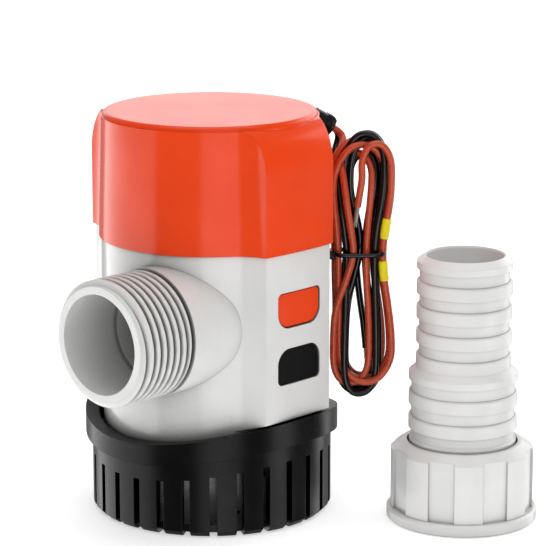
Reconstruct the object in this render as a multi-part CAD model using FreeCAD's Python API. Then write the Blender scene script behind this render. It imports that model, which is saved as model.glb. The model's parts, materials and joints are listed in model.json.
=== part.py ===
import FreeCAD, Part
import math
import os

# Submersible bilge pump with a snap-in motor cartridge, a snap-on strainer, two supply leads
# tied in a hank, and the hose adapter that screws on its outlet.
# Millimetres, +Z up. The origin is the centre of the strainer's underside, the outlet points
# to -Y and the two latch faces look to +X and -X.

# ---------------------------------------------------------------- overall sizes
HEIGHT = 108.6            # floor to the top of the motor cover
JOINT_Z = 75.0            # seam between the motor cover and the pump housing
BODY_R = 29.3             # round part of the housing
WING_PROUD = 2.6          # the latch faces stand this far outside the round body
WING_X = BODY_R + WING_PROUD
WING_HALF = 12.2          # half the width of a latch face
FACE_R = 134.0            # the latch faces are slightly crowned
FLARE_START = 37.0        # degrees from the X axis where the flare leaves the round body
COVER_PROUD = 0.6         # the cover stands this far outside the housing
GAP = 0.3                 # clearance between pieces that must not touch
RUNNING = 0.03            # radial clearance of a shaft in its bush

# ---------------------------------------------------------------- strainer
COLLAR_PLAY = 1.3         # between the round body and the collar
COLLAR_WALL = 3.6
COLLAR_STEP = 1.8         # the collar stands out from the slotted wall
COLLAR_BORE_R = BODY_R + COLLAR_PLAY
COLLAR_R = COLLAR_BORE_R + COLLAR_WALL
STRAINER_R = COLLAR_R - COLLAR_STEP
STRAINER_WALL = 2.4
FLOOR_T = 2.6
LEDGE_Z = 19.8            # the housing's foot ring sits here
RIM_OVER = 7.5            # mean height of the rim over the ledge
RIM_WAVE = 2.8            # the rim dips at front and back and rises at the latches
BAND_DEEP = 6.1           # from the rim down to the lower line of the collar
BAND_WAVE = 2.2
SLOT_UNDER_BAND = 4.7     # from the collar's lower line down to the tops of the slots
RIM_MEAN = LEDGE_Z + RIM_OVER
BAND_MEAN = RIM_MEAN - BAND_DEEP
SLOT_TOP_MEAN = BAND_MEAN - SLOT_UNDER_BAND
SLOT_COUNT = 28
SLOT_W = 2.0
NOTCH_H = 1.3             # drain groove under the floor at each slot
NOTCH_IN = 4.5
FOOT_HOLE_R = 2.2
FOOT_HOLE_PCD = 40.0
FOOT_HOLES = 3

# ---------------------------------------------------------------- housing
FACE_WALL = 1.6           # wall of a latch face over its pocket
POCKET_DEEP = 4.6
WING_WALL = 2.7           # each side of a latch pocket
CHAMBER_WALL = 2.1        # between a latch pocket and the chamber
POCKET_OUT = WING_X - FACE_WALL
POCKET_IN = POCKET_OUT - POCKET_DEEP
POCKET_HALF = WING_HALF - WING_WALL
CHAMBER_R = POCKET_IN - CHAMBER_WALL
SKIRT_H = 9.4             # from the foot ring up to the shoulder that the suction plate seats on
CHAMBER_Z = LEDGE_Z + SKIRT_H
SKIRT_WALL = 2.3
SKIRT_BORE_R = BODY_R - SKIRT_WALL
NECK_IN = 2.7             # the neck stands this far inside the round body
NECK_R = BODY_R - NECK_IN
NECK_H = 4.0
FOOT_RING_T = 2.0

# ---------------------------------------------------------------- outlet, 1 inch pipe thread
OUTLET_X = 9.0
OUTLET_STAND = 20.7       # the spigot stands this far out of the round body
OUTLET_REACH = BODY_R + OUTLET_STAND
THREAD_MAJOR_R = 16.63
THREAD_DEPTH = 1.48
THREAD_CORE_R = THREAD_MAJOR_R - THREAD_DEPTH
THREAD_LENGTH = 18.0
SPIGOT_WALL = 2.05        # under the thread
OUTLET_BORE_R = THREAD_CORE_R - SPIGOT_WALL
THROAT_STEP = 0.9         # the passage behind the thread is this much narrower
ROOT_PROUD = 0.27         # the plain root is this much larger than the thread
OUTLET_ROOT_R = THREAD_MAJOR_R + ROOT_PROUD
OUTLET_UNDER_SEAM = 3.1   # from the seam down to the top of the root
OUTLET_Z = JOINT_Z - OUTLET_UNDER_SEAM - OUTLET_ROOT_R
THREAD_PLAY = 0.22        # nut bore over the thread crest

# ---------------------------------------------------------------- latches
FINGER_T = 1.8
FINGER_OUT = POCKET_OUT - GAP
FINGER_IN = FINGER_OUT - FINGER_T
FINGER_PLAY = 0.5         # each side of a finger in its pocket
FINGER_HALF = POCKET_HALF - FINGER_PLAY
WINDOW_MARGIN = 0.95      # the finger is this much wider than its window, each side
WINDOW_HALF = FINGER_HALF - WINDOW_MARGIN
WINDOW_H = 9.7
UPPER_WINDOW_DOWN = 10.4  # from the seam down to the upper window
LOWER_WINDOW_UP = 20.0    # from the foot ring up to the lower window
UPPER_WINDOW = (JOINT_Z - UPPER_WINDOW_DOWN - WINDOW_H, JOINT_Z - UPPER_WINDOW_DOWN)
LOWER_WINDOW = (LEDGE_Z + LOWER_WINDOW_UP, LEDGE_Z + LOWER_WINDOW_UP + WINDOW_H)
POCKET_OVER = 2.1         # the lower pocket ends this far above its window
POCKET_FLOOR_T = 1.4      # floor between the lower and the upper pocket
POCKET_SPLIT = (LOWER_WINDOW[1] + POCKET_OVER, LOWER_WINDOW[1] + POCKET_OVER + POCKET_FLOOR_T)
WINDOW_SMALL_R = 1.5
WINDOW_LARGE_R = 4.2
BUTTON_GAP = 0.4
BUTTON_PROUD = 0.05
BUTTON_OUT = WING_X + BUTTON_PROUD

# ---------------------------------------------------------------- motor cover
COVER_WALL = 2.3
COVER_TOP_T = 3.0
DISC_IN = 0.7             # the raised top disc stands this far inside the round body
DISC_R = BODY_R - DISC_IN
DISC_EDGE = 1.2
COVER_DRAFT = 0.95        # the round wall leans in by this much from seam to top
SHOULDER_X = 6.9          # elliptical shoulder over each latch face
SHOULDER_Z = 11.9

# ---------------------------------------------------------------- impeller
IMPELLER_R = 17.2
IMPELLER_UP = 6.4         # from the suction plate's seat up to the vanes
IMPELLER_H = 8.0
IMPELLER_Z = (CHAMBER_Z + IMPELLER_UP, CHAMBER_Z + IMPELLER_UP + IMPELLER_H)
SHROUD_T = 1.5
HUB_R = 4.0
VANES = 6
VANE_T = 1.5
EYE_R = 9.5
EYE_LIP_T = 1.8
SUCTION_PLATE_T = 2.4
SCREW_R = 1.1
SCREW_HEAD_R = 1.7
SCREW_AT = CHAMBER_R + 1.45

# ---------------------------------------------------------------- motor cartridge
BARREL_R = 19.8
BARREL_WALL = 1.85
BARREL_OVER_IMPELLER = 1.9
COVER_ROOM = 3.6          # from the barrel's top up to the cover
BARREL_Z = (IMPELLER_Z[1] + BARREL_OVER_IMPELLER, HEIGHT - COVER_TOP_T - COVER_ROOM)
BARREL_FLOOR_T = 2.5
FLANGE_DOWN = 4.4         # the sealing flange runs from this far under the seam
FLANGE_H = 6.0
FLANGE_Z = (JOINT_Z - FLANGE_DOWN, JOINT_Z - FLANGE_DOWN + FLANGE_H)
FLANGE_PLAY = 0.15
PLATE_T = 2.0
O_RING_MINOR = 1.05
SEAL_R = 4.75
SEAL_UP = 0.5
SEAL_H = 5.0
SEAL_Z = (BARREL_Z[0] + SEAL_UP, BARREL_Z[0] + SEAL_UP + SEAL_H)
CAN_PLAY = 0.35
CAN_R = BARREL_R - BARREL_WALL - CAN_PLAY
CAN_T = 1.2
CAN_UP = 8.5              # from the barrel's underside up to the can
CAN_DOWN = 6.0            # from the barrel's top down to the can's rim
CAN_Z = (BARREL_Z[0] + CAN_UP, BARREL_Z[1] - CAN_DOWN)
BUSH_R = 3.2
SHAFT_R = 1.6
SHAFT_Z = (IMPELLER_Z[0] - 0.4, CAN_Z[1] + 5.6)
MAGNET_T = 4.1
GLUE = 0.05               # between a magnet and the can
AIR_GAP = 0.4
CORE_R = CAN_R - CAN_T - GLUE - MAGNET_T - AIR_GAP
MAGNET_Z = (CAN_Z[0] + 5.5, CAN_Z[1] - 7.5)
MAGNET_SPAN = 128.0
CORE_INSET = 4.5          # the core is this much shorter than the magnets at each end
CORE_Z = (MAGNET_Z[0] + CORE_INSET, MAGNET_Z[1] - CORE_INSET)
POLES = 5
POLE_HUB_R = 5.1          # the winding slots start here
POLE_LIP_T = 1.75
SLOT_R = (CORE_R - POLE_LIP_T - POLE_HUB_R) / 2
SLOT_AT = POLE_HUB_R + SLOT_R
COMMUTATOR_R = 4.2
COMMUTATOR_Z = (CAN_Z[1] - 7.4, CAN_Z[1] - 1.0)
BRUSH_SIZE = (5.0, 3.4, 4.4)
BRUSH_Z = COMMUTATOR_Z[0] + 1.0

# ---------------------------------------------------------------- leads
LEAD_D = 1.9
LEAD_EXIT = 2.2           # straight run out of the gland
LEAD_APART = 1.15         # each lead from the gland's axis
HANG_ANGLE = 44.5         # plan direction in which the hank hangs off the body
GLAND_ANGLE = 57.0
GLAND_DROP = 30.0         # degrees that the gland points down
GLAND_DOWN = 3.7          # from the top of the cover
GLAND_Z = HEIGHT - GLAND_DOWN
GLAND_NECK_R = 1.9
GLAND_COLLAR_R = 2.7
GLAND_COLLAR_OUT = 2.6
GLAND_FLATS = 5.6
GLAND_OUT = 5.2
GLAND_IN = 2.2            # the neck is anchored this deep in the cover
HANK_ACROSS = (-4.75, 2.75)
TIE_WAIST = (4.25, 14.95)     # the tie's opening, out from the round body
TIE_Z = (68.9, 70.9)
TIE_T = 1.1
SLEEVE_R = 1.7
SLEEVE_AT = (16.8, -1.0)
BARE_R = 0.5

# ---------------------------------------------------------------- hose adapter
ADAPTER_AT = (58.0, 36.6)
ADAPTER_H = 72.0
SMALL_BARB_R = 12.7       # for 1 inch hose
SMALL_BARB_DEPTH = 0.75
SMALL_ROOT_R = SMALL_BARB_R - SMALL_BARB_DEPTH
SMALL_LANDS = 5
LARGE_BARB_R = 14.5       # for 1 1/8 inch hose
LARGE_BARB_DEPTH = 0.7
LARGE_ROOT_R = LARGE_BARB_R - LARGE_BARB_DEPTH
LARGE_LANDS = 3
BARB_PITCH = 6.65
LAND_H = 3.5
TAIL_WALL = 1.65
TAIL_BORE_R = SMALL_ROOT_R - TAIL_WALL
MOUTH_CHAMFER = 1.6
NUT_H = 21.4
NUT_BORE_R = THREAD_MAJOR_R + THREAD_PLAY
NUT_WALL = 2.2
NUT_R = NUT_BORE_R + NUT_WALL
NUT_THREAD_L = 12.2
NUT_RELIEF = 0.25         # the seat above the thread is this much wider
NUT_RECESS = 1.0
NUT_RIBS = 8
NUT_FLANGE_PROUD = 1.05
NUT_FLANGE_R = NUT_R + NUT_FLANGE_PROUD
NUT_FLANGE_H = 3.3
NUT_LIP_T = 3.6
TAIL_FLANGE_T = 3.0
WASHER_T = 2.0


def vec(x, y, z=0.0):
    return FreeCAD.Vector(x, y, z)


def polar(radius, degrees, z=0.0):
    angle = math.radians(degrees)
    return vec(radius * math.cos(angle), radius * math.sin(angle), z)


def cylinder(radius, z0, z1, x=0.0, y=0.0):
    return Part.makeCylinder(radius, z1 - z0, vec(x, y, z0))


def tube(outer, inner, z0, z1, x=0.0, y=0.0):
    return cylinder(outer, z0, z1, x, y).cut(cylinder(inner, z0 - 1, z1 + 1, x, y))


def block(x0, x1, y0, y1, z0, z1):
    return Part.makeBox(x1 - x0, y1 - y0, z1 - z0, vec(x0, y0, z0))


def turned(profile):
    """Solid of revolution about Z from (radius, z) corners."""
    corners = [vec(r, 0, z) for r, z in profile]
    return Part.Face(Part.makePolygon(corners + corners[:1])).revolve(vec(0, 0), vec(0, 0, 1), 360)


def prism(edges, direction):
    return Part.Face(Part.Wire(edges)).extrude(direction)


def spun(shape, degrees, x=0.0, y=0.0):
    copy = shape.copy()
    copy.rotate(vec(x, y), vec(0, 0, 1), degrees)
    return copy


def both_sides(shape):
    """The shape and its twin half a turn round the axis."""
    return [shape, spun(shape, 180)]


# ------------------------------------------------------------------------- plan of the body
def flare(radius, ridge_x, ridge_y, reach, z):
    """Edges from the round body to the ridge, tangent to the body, and straight on to reach."""
    start = polar(radius, -FLARE_START, z)
    ridge = vec(ridge_x, -ridge_y, z)
    tangent = math.radians(90 - FLARE_START)
    chord = ridge - start
    chord_angle = math.atan2(chord.y, chord.x)
    half = (tangent - chord_angle) / 2
    to_middle = chord.Length / 2 / math.cos(half)
    middle = start + vec(to_middle * math.cos(chord_angle + half), to_middle * math.sin(chord_angle + half))
    end_angle = 2 * chord_angle - tangent
    run = (reach - ridge_x) / math.cos(end_angle)
    end = ridge + vec(run * math.cos(end_angle), run * math.sin(end_angle))
    return Part.Arc(start, middle, ridge).toShape(), Part.LineSegment(ridge, end).toShape(), end


def plan_wire(radius, ridge_x, ridge_y, z):
    """Closed plan of the body: two round sides and two flared wings that run out past the faces."""
    reach = ridge_x + 4
    curve, run, end = flare(radius, ridge_x, ridge_y, reach, z)
    front = Part.Arc(polar(radius, FLARE_START - 180, z), vec(0, -radius, z), polar(radius, -FLARE_START, z))
    half = [front.toShape(), curve, run, Part.LineSegment(end, vec(end.x, -end.y, z)).toShape()]
    half += [edge.mirror(vec(0, 0, z), vec(0, 1, 0)) for edge in (run, curve)]
    return Part.Wire(Part.__sortEdges__(half + [spun(edge, 180) for edge in half]))


def crowned(edges, face_x):
    """Solid swept by a closed (x, z) outline that swings about the axis of the crowned face."""
    swing = Part.Face(Part.Wire(edges))
    axis = vec(face_x - FACE_R, 0)
    swing.rotate(axis, vec(0, 0, 1), -25)
    return swing.revolve(axis, vec(0, 0, 1), 50)


def latch_face_wedge(face_x, z0, z1, shoulder):
    """Everything inside one latch face, with an elliptical shoulder up to z1 if asked for."""
    back = face_x - FACE_R
    low_back, high_back = vec(back, 0, z0), vec(back, 0, z1)
    low_face = vec(face_x, 0, z0)
    if not shoulder:
        high_face = vec(face_x, 0, z1)
        corners = [low_back, low_face, high_face, high_back, low_back]
        return crowned([Part.LineSegment(a, b).toShape() for a, b in zip(corners, corners[1:])], face_x)
    centre = vec(face_x - SHOULDER_X, 0, z1 - SHOULDER_Z)
    top = centre + vec(0, 0, SHOULDER_Z)
    side = centre + vec(SHOULDER_X, 0, 0)
    ellipse = Part.Ellipse(top, side, centre)
    u0, u1 = ellipse.parameter(top), ellipse.parameter(side)
    arc = Part.ArcOfEllipse(ellipse, min(u0, u1), max(u0, u1)).toShape()
    return crowned([Part.LineSegment(low_back, low_face).toShape(),
                    Part.LineSegment(low_face, side).toShape(),
                    arc, Part.LineSegment(top, high_back).toShape(),
                    Part.LineSegment(high_back, low_back).toShape()], face_x)


def between_faces(shape, face_x, z0, z1, shoulder=False):
    for wedge in both_sides(latch_face_wedge(face_x, z0, z1, shoulder)):
        shape = shape.common(wedge)
    return shape


def above_wave(mean, wave, radius, top=60.0):
    """Block above a trough-shaped surface: mean - wave at front and back, mean + wave at the latches."""
    low = mean - wave
    reach = 1.5 * radius
    side = low + 2 * wave * (reach / radius) ** 2
    start, end = vec(-reach, -reach, side), vec(reach, -reach, side)
    trough = Part.BSplineCurve()
    trough.buildFromPoles([start, vec(0, -reach, 2 * low - side), end], False, 2)
    corners = [end, end + vec(0, 0, top), start + vec(0, 0, top), start]
    edges = [trough.toShape()] + [Part.LineSegment(a, b).toShape() for a, b in zip(corners, corners[1:])]
    return prism(edges, vec(0, 2 * reach, 0))


def wave_height(mean, wave, degrees):
    return mean + wave * math.cos(2 * math.radians(degrees))


# ------------------------------------------------------------------------- strainer
def make_strainer():
    wall_in = STRAINER_R - STRAINER_WALL
    edge = 1.4
    body = turned([(0, 0), (STRAINER_R - edge, 0), (STRAINER_R, edge), (STRAINER_R, LEDGE_Z - 4),
                   (COLLAR_R, LEDGE_Z - 4), (COLLAR_R, RIM_MEAN + RIM_WAVE + 2),
                   (COLLAR_BORE_R, RIM_MEAN + RIM_WAVE + 2), (COLLAR_BORE_R, LEDGE_Z), (wall_in, LEDGE_Z),
                   (wall_in, FLOOR_T), (0, FLOOR_T)])
    body = body.cut(above_wave(RIM_MEAN, RIM_WAVE, COLLAR_R))
    below_band = tube(COLLAR_R + 2, STRAINER_R, -1, RIM_MEAN + RIM_WAVE).cut(
        above_wave(BAND_MEAN, BAND_WAVE, COLLAR_R))
    body = body.cut(below_band)
    tools = []
    step = 360.0 / SLOT_COUNT
    for i in range(SLOT_COUNT):
        angle = (i + 0.5) * step
        top = wave_height(SLOT_TOP_MEAN, BAND_WAVE, angle)
        slot = block(wall_in - 0.4, STRAINER_R + 1, -SLOT_W / 2, SLOT_W / 2, NOTCH_H, top)
        notch = block(STRAINER_R - NOTCH_IN, STRAINER_R + 1, -SLOT_W / 2, SLOT_W / 2, -1, NOTCH_H)
        tools.append(spun(slot.fuse(notch), angle))
    for i in range(FOOT_HOLES):
        place = polar(FOOT_HOLE_PCD / 2, 90 + 360.0 / FOOT_HOLES * i)
        tools.append(cylinder(FOOT_HOLE_R, -1, FLOOR_T + 1, place.x, place.y))
    seat = block(COLLAR_BORE_R - 4, POCKET_OUT + 0.1, -POCKET_HALF, POCKET_HALF, LEDGE_Z, RIM_MEAN + 12)
    return body.cut(Part.makeCompound(tools + both_sides(seat)))


# ------------------------------------------------------------------------- pump housing
def window_solid(z0, z1, top_r, bottom_r, half, x0, x1):
    """Window shape with its own corner radius at the top and at the bottom, along X."""
    def corner(y, z, radius, a0):
        angles = [math.radians(a) for a in (a0, a0 + 45, a0 + 90)]
        return [vec(x0, y + radius * math.cos(a), z + radius * math.sin(a)) for a in angles]

    corners = [corner(half - top_r, z1 - top_r, top_r, 0), corner(top_r - half, z1 - top_r, top_r, 90),
               corner(bottom_r - half, z0 + bottom_r, bottom_r, 180),
               corner(half - bottom_r, z0 + bottom_r, bottom_r, 270)]
    edges = []
    for i, arc in enumerate(corners):
        edges.append(Part.Arc(*arc).toShape())
        edges.append(Part.LineSegment(arc[2], corners[(i + 1) % 4][0]).toShape())
    return prism(edges, vec(x1 - x0, 0, 0))


def window_shapes(inset, x0, x1):
    """The upper and the lower window, or a button that fits in each with the given inset."""
    large, small = WINDOW_LARGE_R - inset, WINDOW_SMALL_R - inset
    half = WINDOW_HALF - inset
    upper = window_solid(UPPER_WINDOW[0] + inset, UPPER_WINDOW[1] - inset, small, large, half, x0, x1)
    lower = window_solid(LOWER_WINDOW[0] + inset, LOWER_WINDOW[1] - inset, large, small, half, x0, x1)
    return upper, lower


def housing_block():
    """Outer shape of the housing, from the foot ring to the seam."""
    face_x = WING_X + WING_HALF ** 2 / (2 * FACE_R)
    shell = Part.Face(plan_wire(BODY_R, WING_X, WING_HALF, LEDGE_Z)).extrude(vec(0, 0, JOINT_Z - LEDGE_Z))
    return between_faces(shell, face_x, LEDGE_Z - 5, JOINT_Z + 5)


def outlet_cylinder(radius, y0, y1):
    """Cylinder on the outlet's axis between two distances in front of the rotor's axis."""
    return Part.makeCylinder(radius, y1 - y0, vec(OUTLET_X, -y0, OUTLET_Z), vec(0, -1, 0))


def outlet_passage():
    """The throat out of the chamber and the bore behind the thread."""
    bore_start = OUTLET_REACH - THREAD_LENGTH
    throat = outlet_cylinder(OUTLET_BORE_R - THROAT_STEP, 10, bore_start + 1)
    return [throat, outlet_cylinder(OUTLET_BORE_R, bore_start, OUTLET_REACH + 1)]


def make_spigot():
    """Threaded outlet, up to the housing's wall."""
    root_end = OUTLET_REACH - THREAD_LENGTH
    spigot = outlet_cylinder(THREAD_CORE_R, 0, OUTLET_REACH)
    spigot = spigot.fuse(outlet_cylinder(OUTLET_ROOT_R, 0, root_end))
    front = block(-COLLAR_R * 2, COLLAR_R * 2, -OUTLET_REACH - 1, -1, 0, HEIGHT)
    return spigot.common(front).cut(housing_block()).cut(outlet_passage())


def make_housing():
    shell = housing_block()
    under_wings = tube(WING_X + 12, BODY_R + 0.1, LEDGE_Z - 1, JOINT_Z - 20).cut(
        above_wave(RIM_MEAN + 2 * GAP, RIM_WAVE, COLLAR_R))
    shell = shell.cut(under_wings)
    foot_ring = cylinder(COLLAR_BORE_R - 0.15, LEDGE_Z, LEDGE_Z + FOOT_RING_T)
    neck = cylinder(NECK_R, JOINT_Z - 1, JOINT_Z + NECK_H)
    shell = shell.fuse([foot_ring, neck])
    bores = [cylinder(CHAMBER_R, CHAMBER_Z - 1, JOINT_Z + NECK_H + 1),
             cylinder(SKIRT_BORE_R, LEDGE_Z - 1, CHAMBER_Z)]
    lower_pocket = block(POCKET_IN, POCKET_OUT, -POCKET_HALF, POCKET_HALF, LEDGE_Z - 1, POCKET_SPLIT[0])
    upper_pocket = block(POCKET_IN, POCKET_OUT, -POCKET_HALF, POCKET_HALF, POCKET_SPLIT[1],
                         JOINT_Z + NECK_H + 1)
    cuts = bores + outlet_passage()
    ring_notch = block(POCKET_IN, COLLAR_BORE_R + 1, -POCKET_HALF, POCKET_HALF, LEDGE_Z - 1,
                       LEDGE_Z + FOOT_RING_T)
    for tool in (lower_pocket, upper_pocket, ring_notch, *window_shapes(0, POCKET_OUT - 1, WING_X + 3)):
        cuts += both_sides(tool)
    cuts += [cylinder(SCREW_R + 0.05, CHAMBER_Z - 1, CHAMBER_Z + 6, p.x, p.y) for p in plate_screw_places()]
    cuts.append(cover_keyway())
    return shell.cut(cuts)


def cover_keyway():
    """Slot in the neck's back that lines the cartridge up."""
    return block(-2.2, 2.2, CHAMBER_R - 1, NECK_R + 1, JOINT_Z, JOINT_Z + NECK_H + 1)


# ------------------------------------------------------------------------- volute floor
def plate_screw_places():
    return [polar(SCREW_AT, angle) for angle in (90, 215, 325)]


def make_suction_plate():
    underside = CHAMBER_Z - SUCTION_PLATE_T
    rim, lip, lip_top = SKIRT_BORE_R - GAP, EYE_R + EYE_LIP_T, IMPELLER_Z[0] - 1.0
    disc = turned([(EYE_R, underside), (rim, underside), (rim, CHAMBER_Z), (lip, CHAMBER_Z), (lip, lip_top),
                   (EYE_R, lip_top)])
    holes = [cylinder(SCREW_R + 0.2, underside - 1, CHAMBER_Z + 1, p.x, p.y) for p in plate_screw_places()]
    guard = block(-0.8, 0.8, -EYE_R - 0.5, EYE_R + 0.5, underside, CHAMBER_Z - 0.8)
    return disc.cut(holes).multiFuse([spun(guard, angle) for angle in (30, 90, 150)])


def make_plate_screws():
    underside = CHAMBER_Z - SUCTION_PLATE_T
    screws = []
    for place in plate_screw_places():
        head = cylinder(SCREW_HEAD_R, underside - 1.5, underside, place.x, place.y)
        screws.append(head.fuse(cylinder(SCREW_R, underside, CHAMBER_Z + 5, place.x, place.y)))
    return Part.makeCompound(screws)


# ------------------------------------------------------------------------- motor cover
def make_cover():
    ridge_x, ridge_y = WING_X + COVER_PROUD, WING_HALF + COVER_PROUD
    shoulder_top = HEIGHT - DISC_EDGE
    wires = [plan_wire(BODY_R + COVER_PROUD, ridge_x, ridge_y, JOINT_Z),
             plan_wire(BODY_R + COVER_PROUD - COVER_DRAFT, ridge_x, ridge_y, shoulder_top + 1)]
    shell = Part.makeLoft(wires, True, True)
    face_x = ridge_x + ridge_y ** 2 / (2 * FACE_R)
    shell = between_faces(shell, face_x, JOINT_Z - 5, shoulder_top, True)
    edge_middle = DISC_EDGE * (1 - math.cos(math.radians(45)))
    low, high = vec(DISC_R, 0, shoulder_top - 3), vec(DISC_R, 0, shoulder_top)
    rim = vec(DISC_R - DISC_EDGE, 0, HEIGHT)
    arc = Part.Arc(high, vec(DISC_R - edge_middle, 0, HEIGHT - edge_middle), rim).toShape()
    lines = [(low, high), (rim, vec(0, 0, HEIGHT)), (vec(0, 0, HEIGHT), vec(0, 0, low.z)),
             (vec(0, 0, low.z), low)]
    edges = [arc] + [Part.LineSegment(a, b).toShape() for a, b in lines]
    disc_face = Part.Face(Part.Wire(Part.__sortEdges__(edges)))
    shell = shell.fuse(disc_face.revolve(vec(0, 0), vec(0, 0, 1), 360))
    cavity_r = NECK_R + GAP
    cavity = cylinder(cavity_r, JOINT_Z - 1, HEIGHT - COVER_TOP_T)
    pocket = block(cavity_r - 8, ridge_x - COVER_WALL + 0.15, -POCKET_HALF - 0.6, POCKET_HALF + 0.6,
                   JOINT_Z - 1,
                   shoulder_top - SHOULDER_Z + 1)
    key = block(-1.9, 1.9, NECK_R - 2.6, cavity_r + 1, JOINT_Z + 0.2, JOINT_Z + 14)
    shell = shell.cut([cavity] + both_sides(pocket)).fuse(key)
    return shell.cut(gland_hole())


# ------------------------------------------------------------------------- latches
def make_cartridge_latch():
    root_z = JOINT_Z + NECK_H - 1.0
    tip = UPPER_WINDOW[0] - 0.3
    return finger(tip, root_z, root_z).fuse(window_shapes(BUTTON_GAP, FINGER_OUT - 0.5, BUTTON_OUT)[0])


def make_strainer_latch():
    root_z = LEDGE_Z + 1.2
    tip = LOWER_WINDOW[1] + 0.4
    return finger(root_z, tip, root_z).fuse(window_shapes(BUTTON_GAP, FINGER_OUT - 0.5, BUTTON_OUT)[1])


def finger(z0, z1, root_z):
    """Spring finger with a half-round root, which is the living hinge's axis."""
    thick = FINGER_OUT - FINGER_IN
    leaf = block(FINGER_IN, FINGER_OUT, -FINGER_HALF, FINGER_HALF, z0, z1)
    root = Part.makeCylinder(thick / 2, 2 * FINGER_HALF, vec(FINGER_IN + thick / 2, -FINGER_HALF, root_z),
                             vec(0, 1, 0))
    waist = [Part.makeCylinder(1.6, 6, vec(FINGER_IN - 2, side * FINGER_HALF, (z0 + root_z + z1) / 3),
                               vec(1, 0, 0))
             for side in (-1, 1)]
    return leaf.fuse(root).cut(waist)


# ------------------------------------------------------------------------- motor cartridge
def make_barrel():
    inner = BARREL_R - BARREL_WALL
    z0, z1 = BARREL_Z
    f0, f1 = FLANGE_Z
    plate_z = JOINT_Z + NECK_H + 0.2
    groove_r = CHAMBER_R - 0.05 - 2 * O_RING_MINOR
    flange_r = CHAMBER_R - FLANGE_PLAY
    g0 = (f0 + f1) / 2 - O_RING_MINOR - 0.1
    g1 = (f0 + f1) / 2 + O_RING_MINOR + 0.1
    barrel = turned([(SEAL_R, z0), (BARREL_R, z0), (BARREL_R, f0), (flange_r, f0), (flange_r, g0),
                     (groove_r, g0),
                     (groove_r, g1), (flange_r, g1), (flange_r, f1), (BARREL_R, f1), (BARREL_R, plate_z),
                     (NECK_R - 0.2, plate_z), (NECK_R - 0.2, plate_z + PLATE_T),
                     (BARREL_R, plate_z + PLATE_T),
                     (BARREL_R, z1), (inner, z1), (inner, z0 + BARREL_FLOOR_T),
                     (SEAL_R + 2, z0 + BARREL_FLOOR_T),
                     (SEAL_R + 2, SEAL_Z[1] + 1.2), (SHAFT_R + 1.2, SEAL_Z[1] + 1.2),
                     (SHAFT_R + 1.2, SEAL_Z[1]),
                     (SEAL_R, SEAL_Z[1])])
    ear = block(BARREL_R - 1, FINGER_OUT, -FINGER_HALF + 0.4, FINGER_HALF - 0.4, plate_z, plate_z + PLATE_T)
    keyway = block(-2.2, 2.2, NECK_R - 2.9, NECK_R + 1, plate_z - 1, plate_z + PLATE_T + 1)
    return barrel.multiFuse(both_sides(ear)).cut(keyway)


def make_o_ring():
    return Part.makeTorus(CHAMBER_R - 0.05 - O_RING_MINOR, O_RING_MINOR, vec(0, 0, sum(FLANGE_Z) / 2))


def make_seal():
    z0, z1 = SEAL_Z
    return turned([(SHAFT_R + RUNNING, z0), (SHAFT_R + 1, z0), (SHAFT_R + 2.0, z0 + 1.8),
                   (SEAL_R - 1, z0 + 1.8),
                   (SEAL_R - 1, z0), (SEAL_R, z0), (SEAL_R, z1), (SHAFT_R + 0.6, z1),
                   (SHAFT_R + 0.6, z0 + 1.6),
                   (SHAFT_R + RUNNING, z0 + 1.0)])


def make_can():
    z0, z1 = CAN_Z
    inner = CAN_R - CAN_T
    boss = BUSH_R + 1.2
    return turned([(BUSH_R, z0 - 1.4), (boss, z0 - 1.4), (boss, z0), (CAN_R, z0), (CAN_R, z1), (inner, z1),
                   (inner, z0 + CAN_T), (BUSH_R, z0 + CAN_T)])


def bush(z0, z1):
    return tube(BUSH_R, SHAFT_R + RUNNING, z0, z1)


def make_magnet():
    """Ferrite segment about +X."""
    inner, outer = CORE_R + AIR_GAP, CAN_R - CAN_T - GLUE
    ring = tube(outer, inner, *MAGNET_Z)
    half = MAGNET_SPAN / 2
    reach = 2 * outer
    sector = Part.makePolygon([vec(0, 0, MAGNET_Z[0]), polar(reach, -half, MAGNET_Z[0]),
                               vec(reach, 0, MAGNET_Z[0]), polar(reach, half, MAGNET_Z[0]),
                               vec(0, 0, MAGNET_Z[0])])
    return ring.common(Part.Face(sector).extrude(vec(0, 0, MAGNET_Z[1] - MAGNET_Z[0])))


def slot_places():
    return [polar(SLOT_AT, 360.0 / POLES * (i + 0.5)) for i in range(POLES)]


def make_core():
    """Five-pole laminated core with T-headed poles."""
    z0, z1 = CORE_Z
    tools = []
    for i, place in enumerate(slot_places()):
        tools.append(cylinder(SLOT_R, z0 - 1, z1 + 1, place.x, place.y))
        mouth = block(SLOT_AT, CORE_R + 1, -0.7, 0.7, z0 - 1, z1 + 1)
        tools.append(spun(mouth, 360.0 / POLES * (i + 0.5)))
    return cylinder(CORE_R, z0, z1).cut(tools + [cylinder(SHAFT_R, z0 - 1, z1 + 1)])


def make_windings():
    """Copper: a bundle in each slot and the end turns over both faces of the core."""
    z0, z1 = CORE_Z
    bundles = [cylinder(SLOT_R - 0.15, z0 - 1, z1 + 1, p.x, p.y) for p in slot_places()]
    ends = []
    hub, rim = 2 * SHAFT_R, CORE_R - 1.95
    for low, high in ((z0 - 3.4, z0 - 0.1), (z1 + 0.1, z1 + 3.4)):
        ends.append(turned([(hub, low + 0.8), (hub + 1.4, low), (rim - 1.3, low), (rim, low + 0.8),
                            (rim, high - 0.8), (rim - 1.3, high), (hub + 1.4, high), (hub, high - 0.8)]))
    return ends[0].multiFuse([ends[1]] + bundles)


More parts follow.
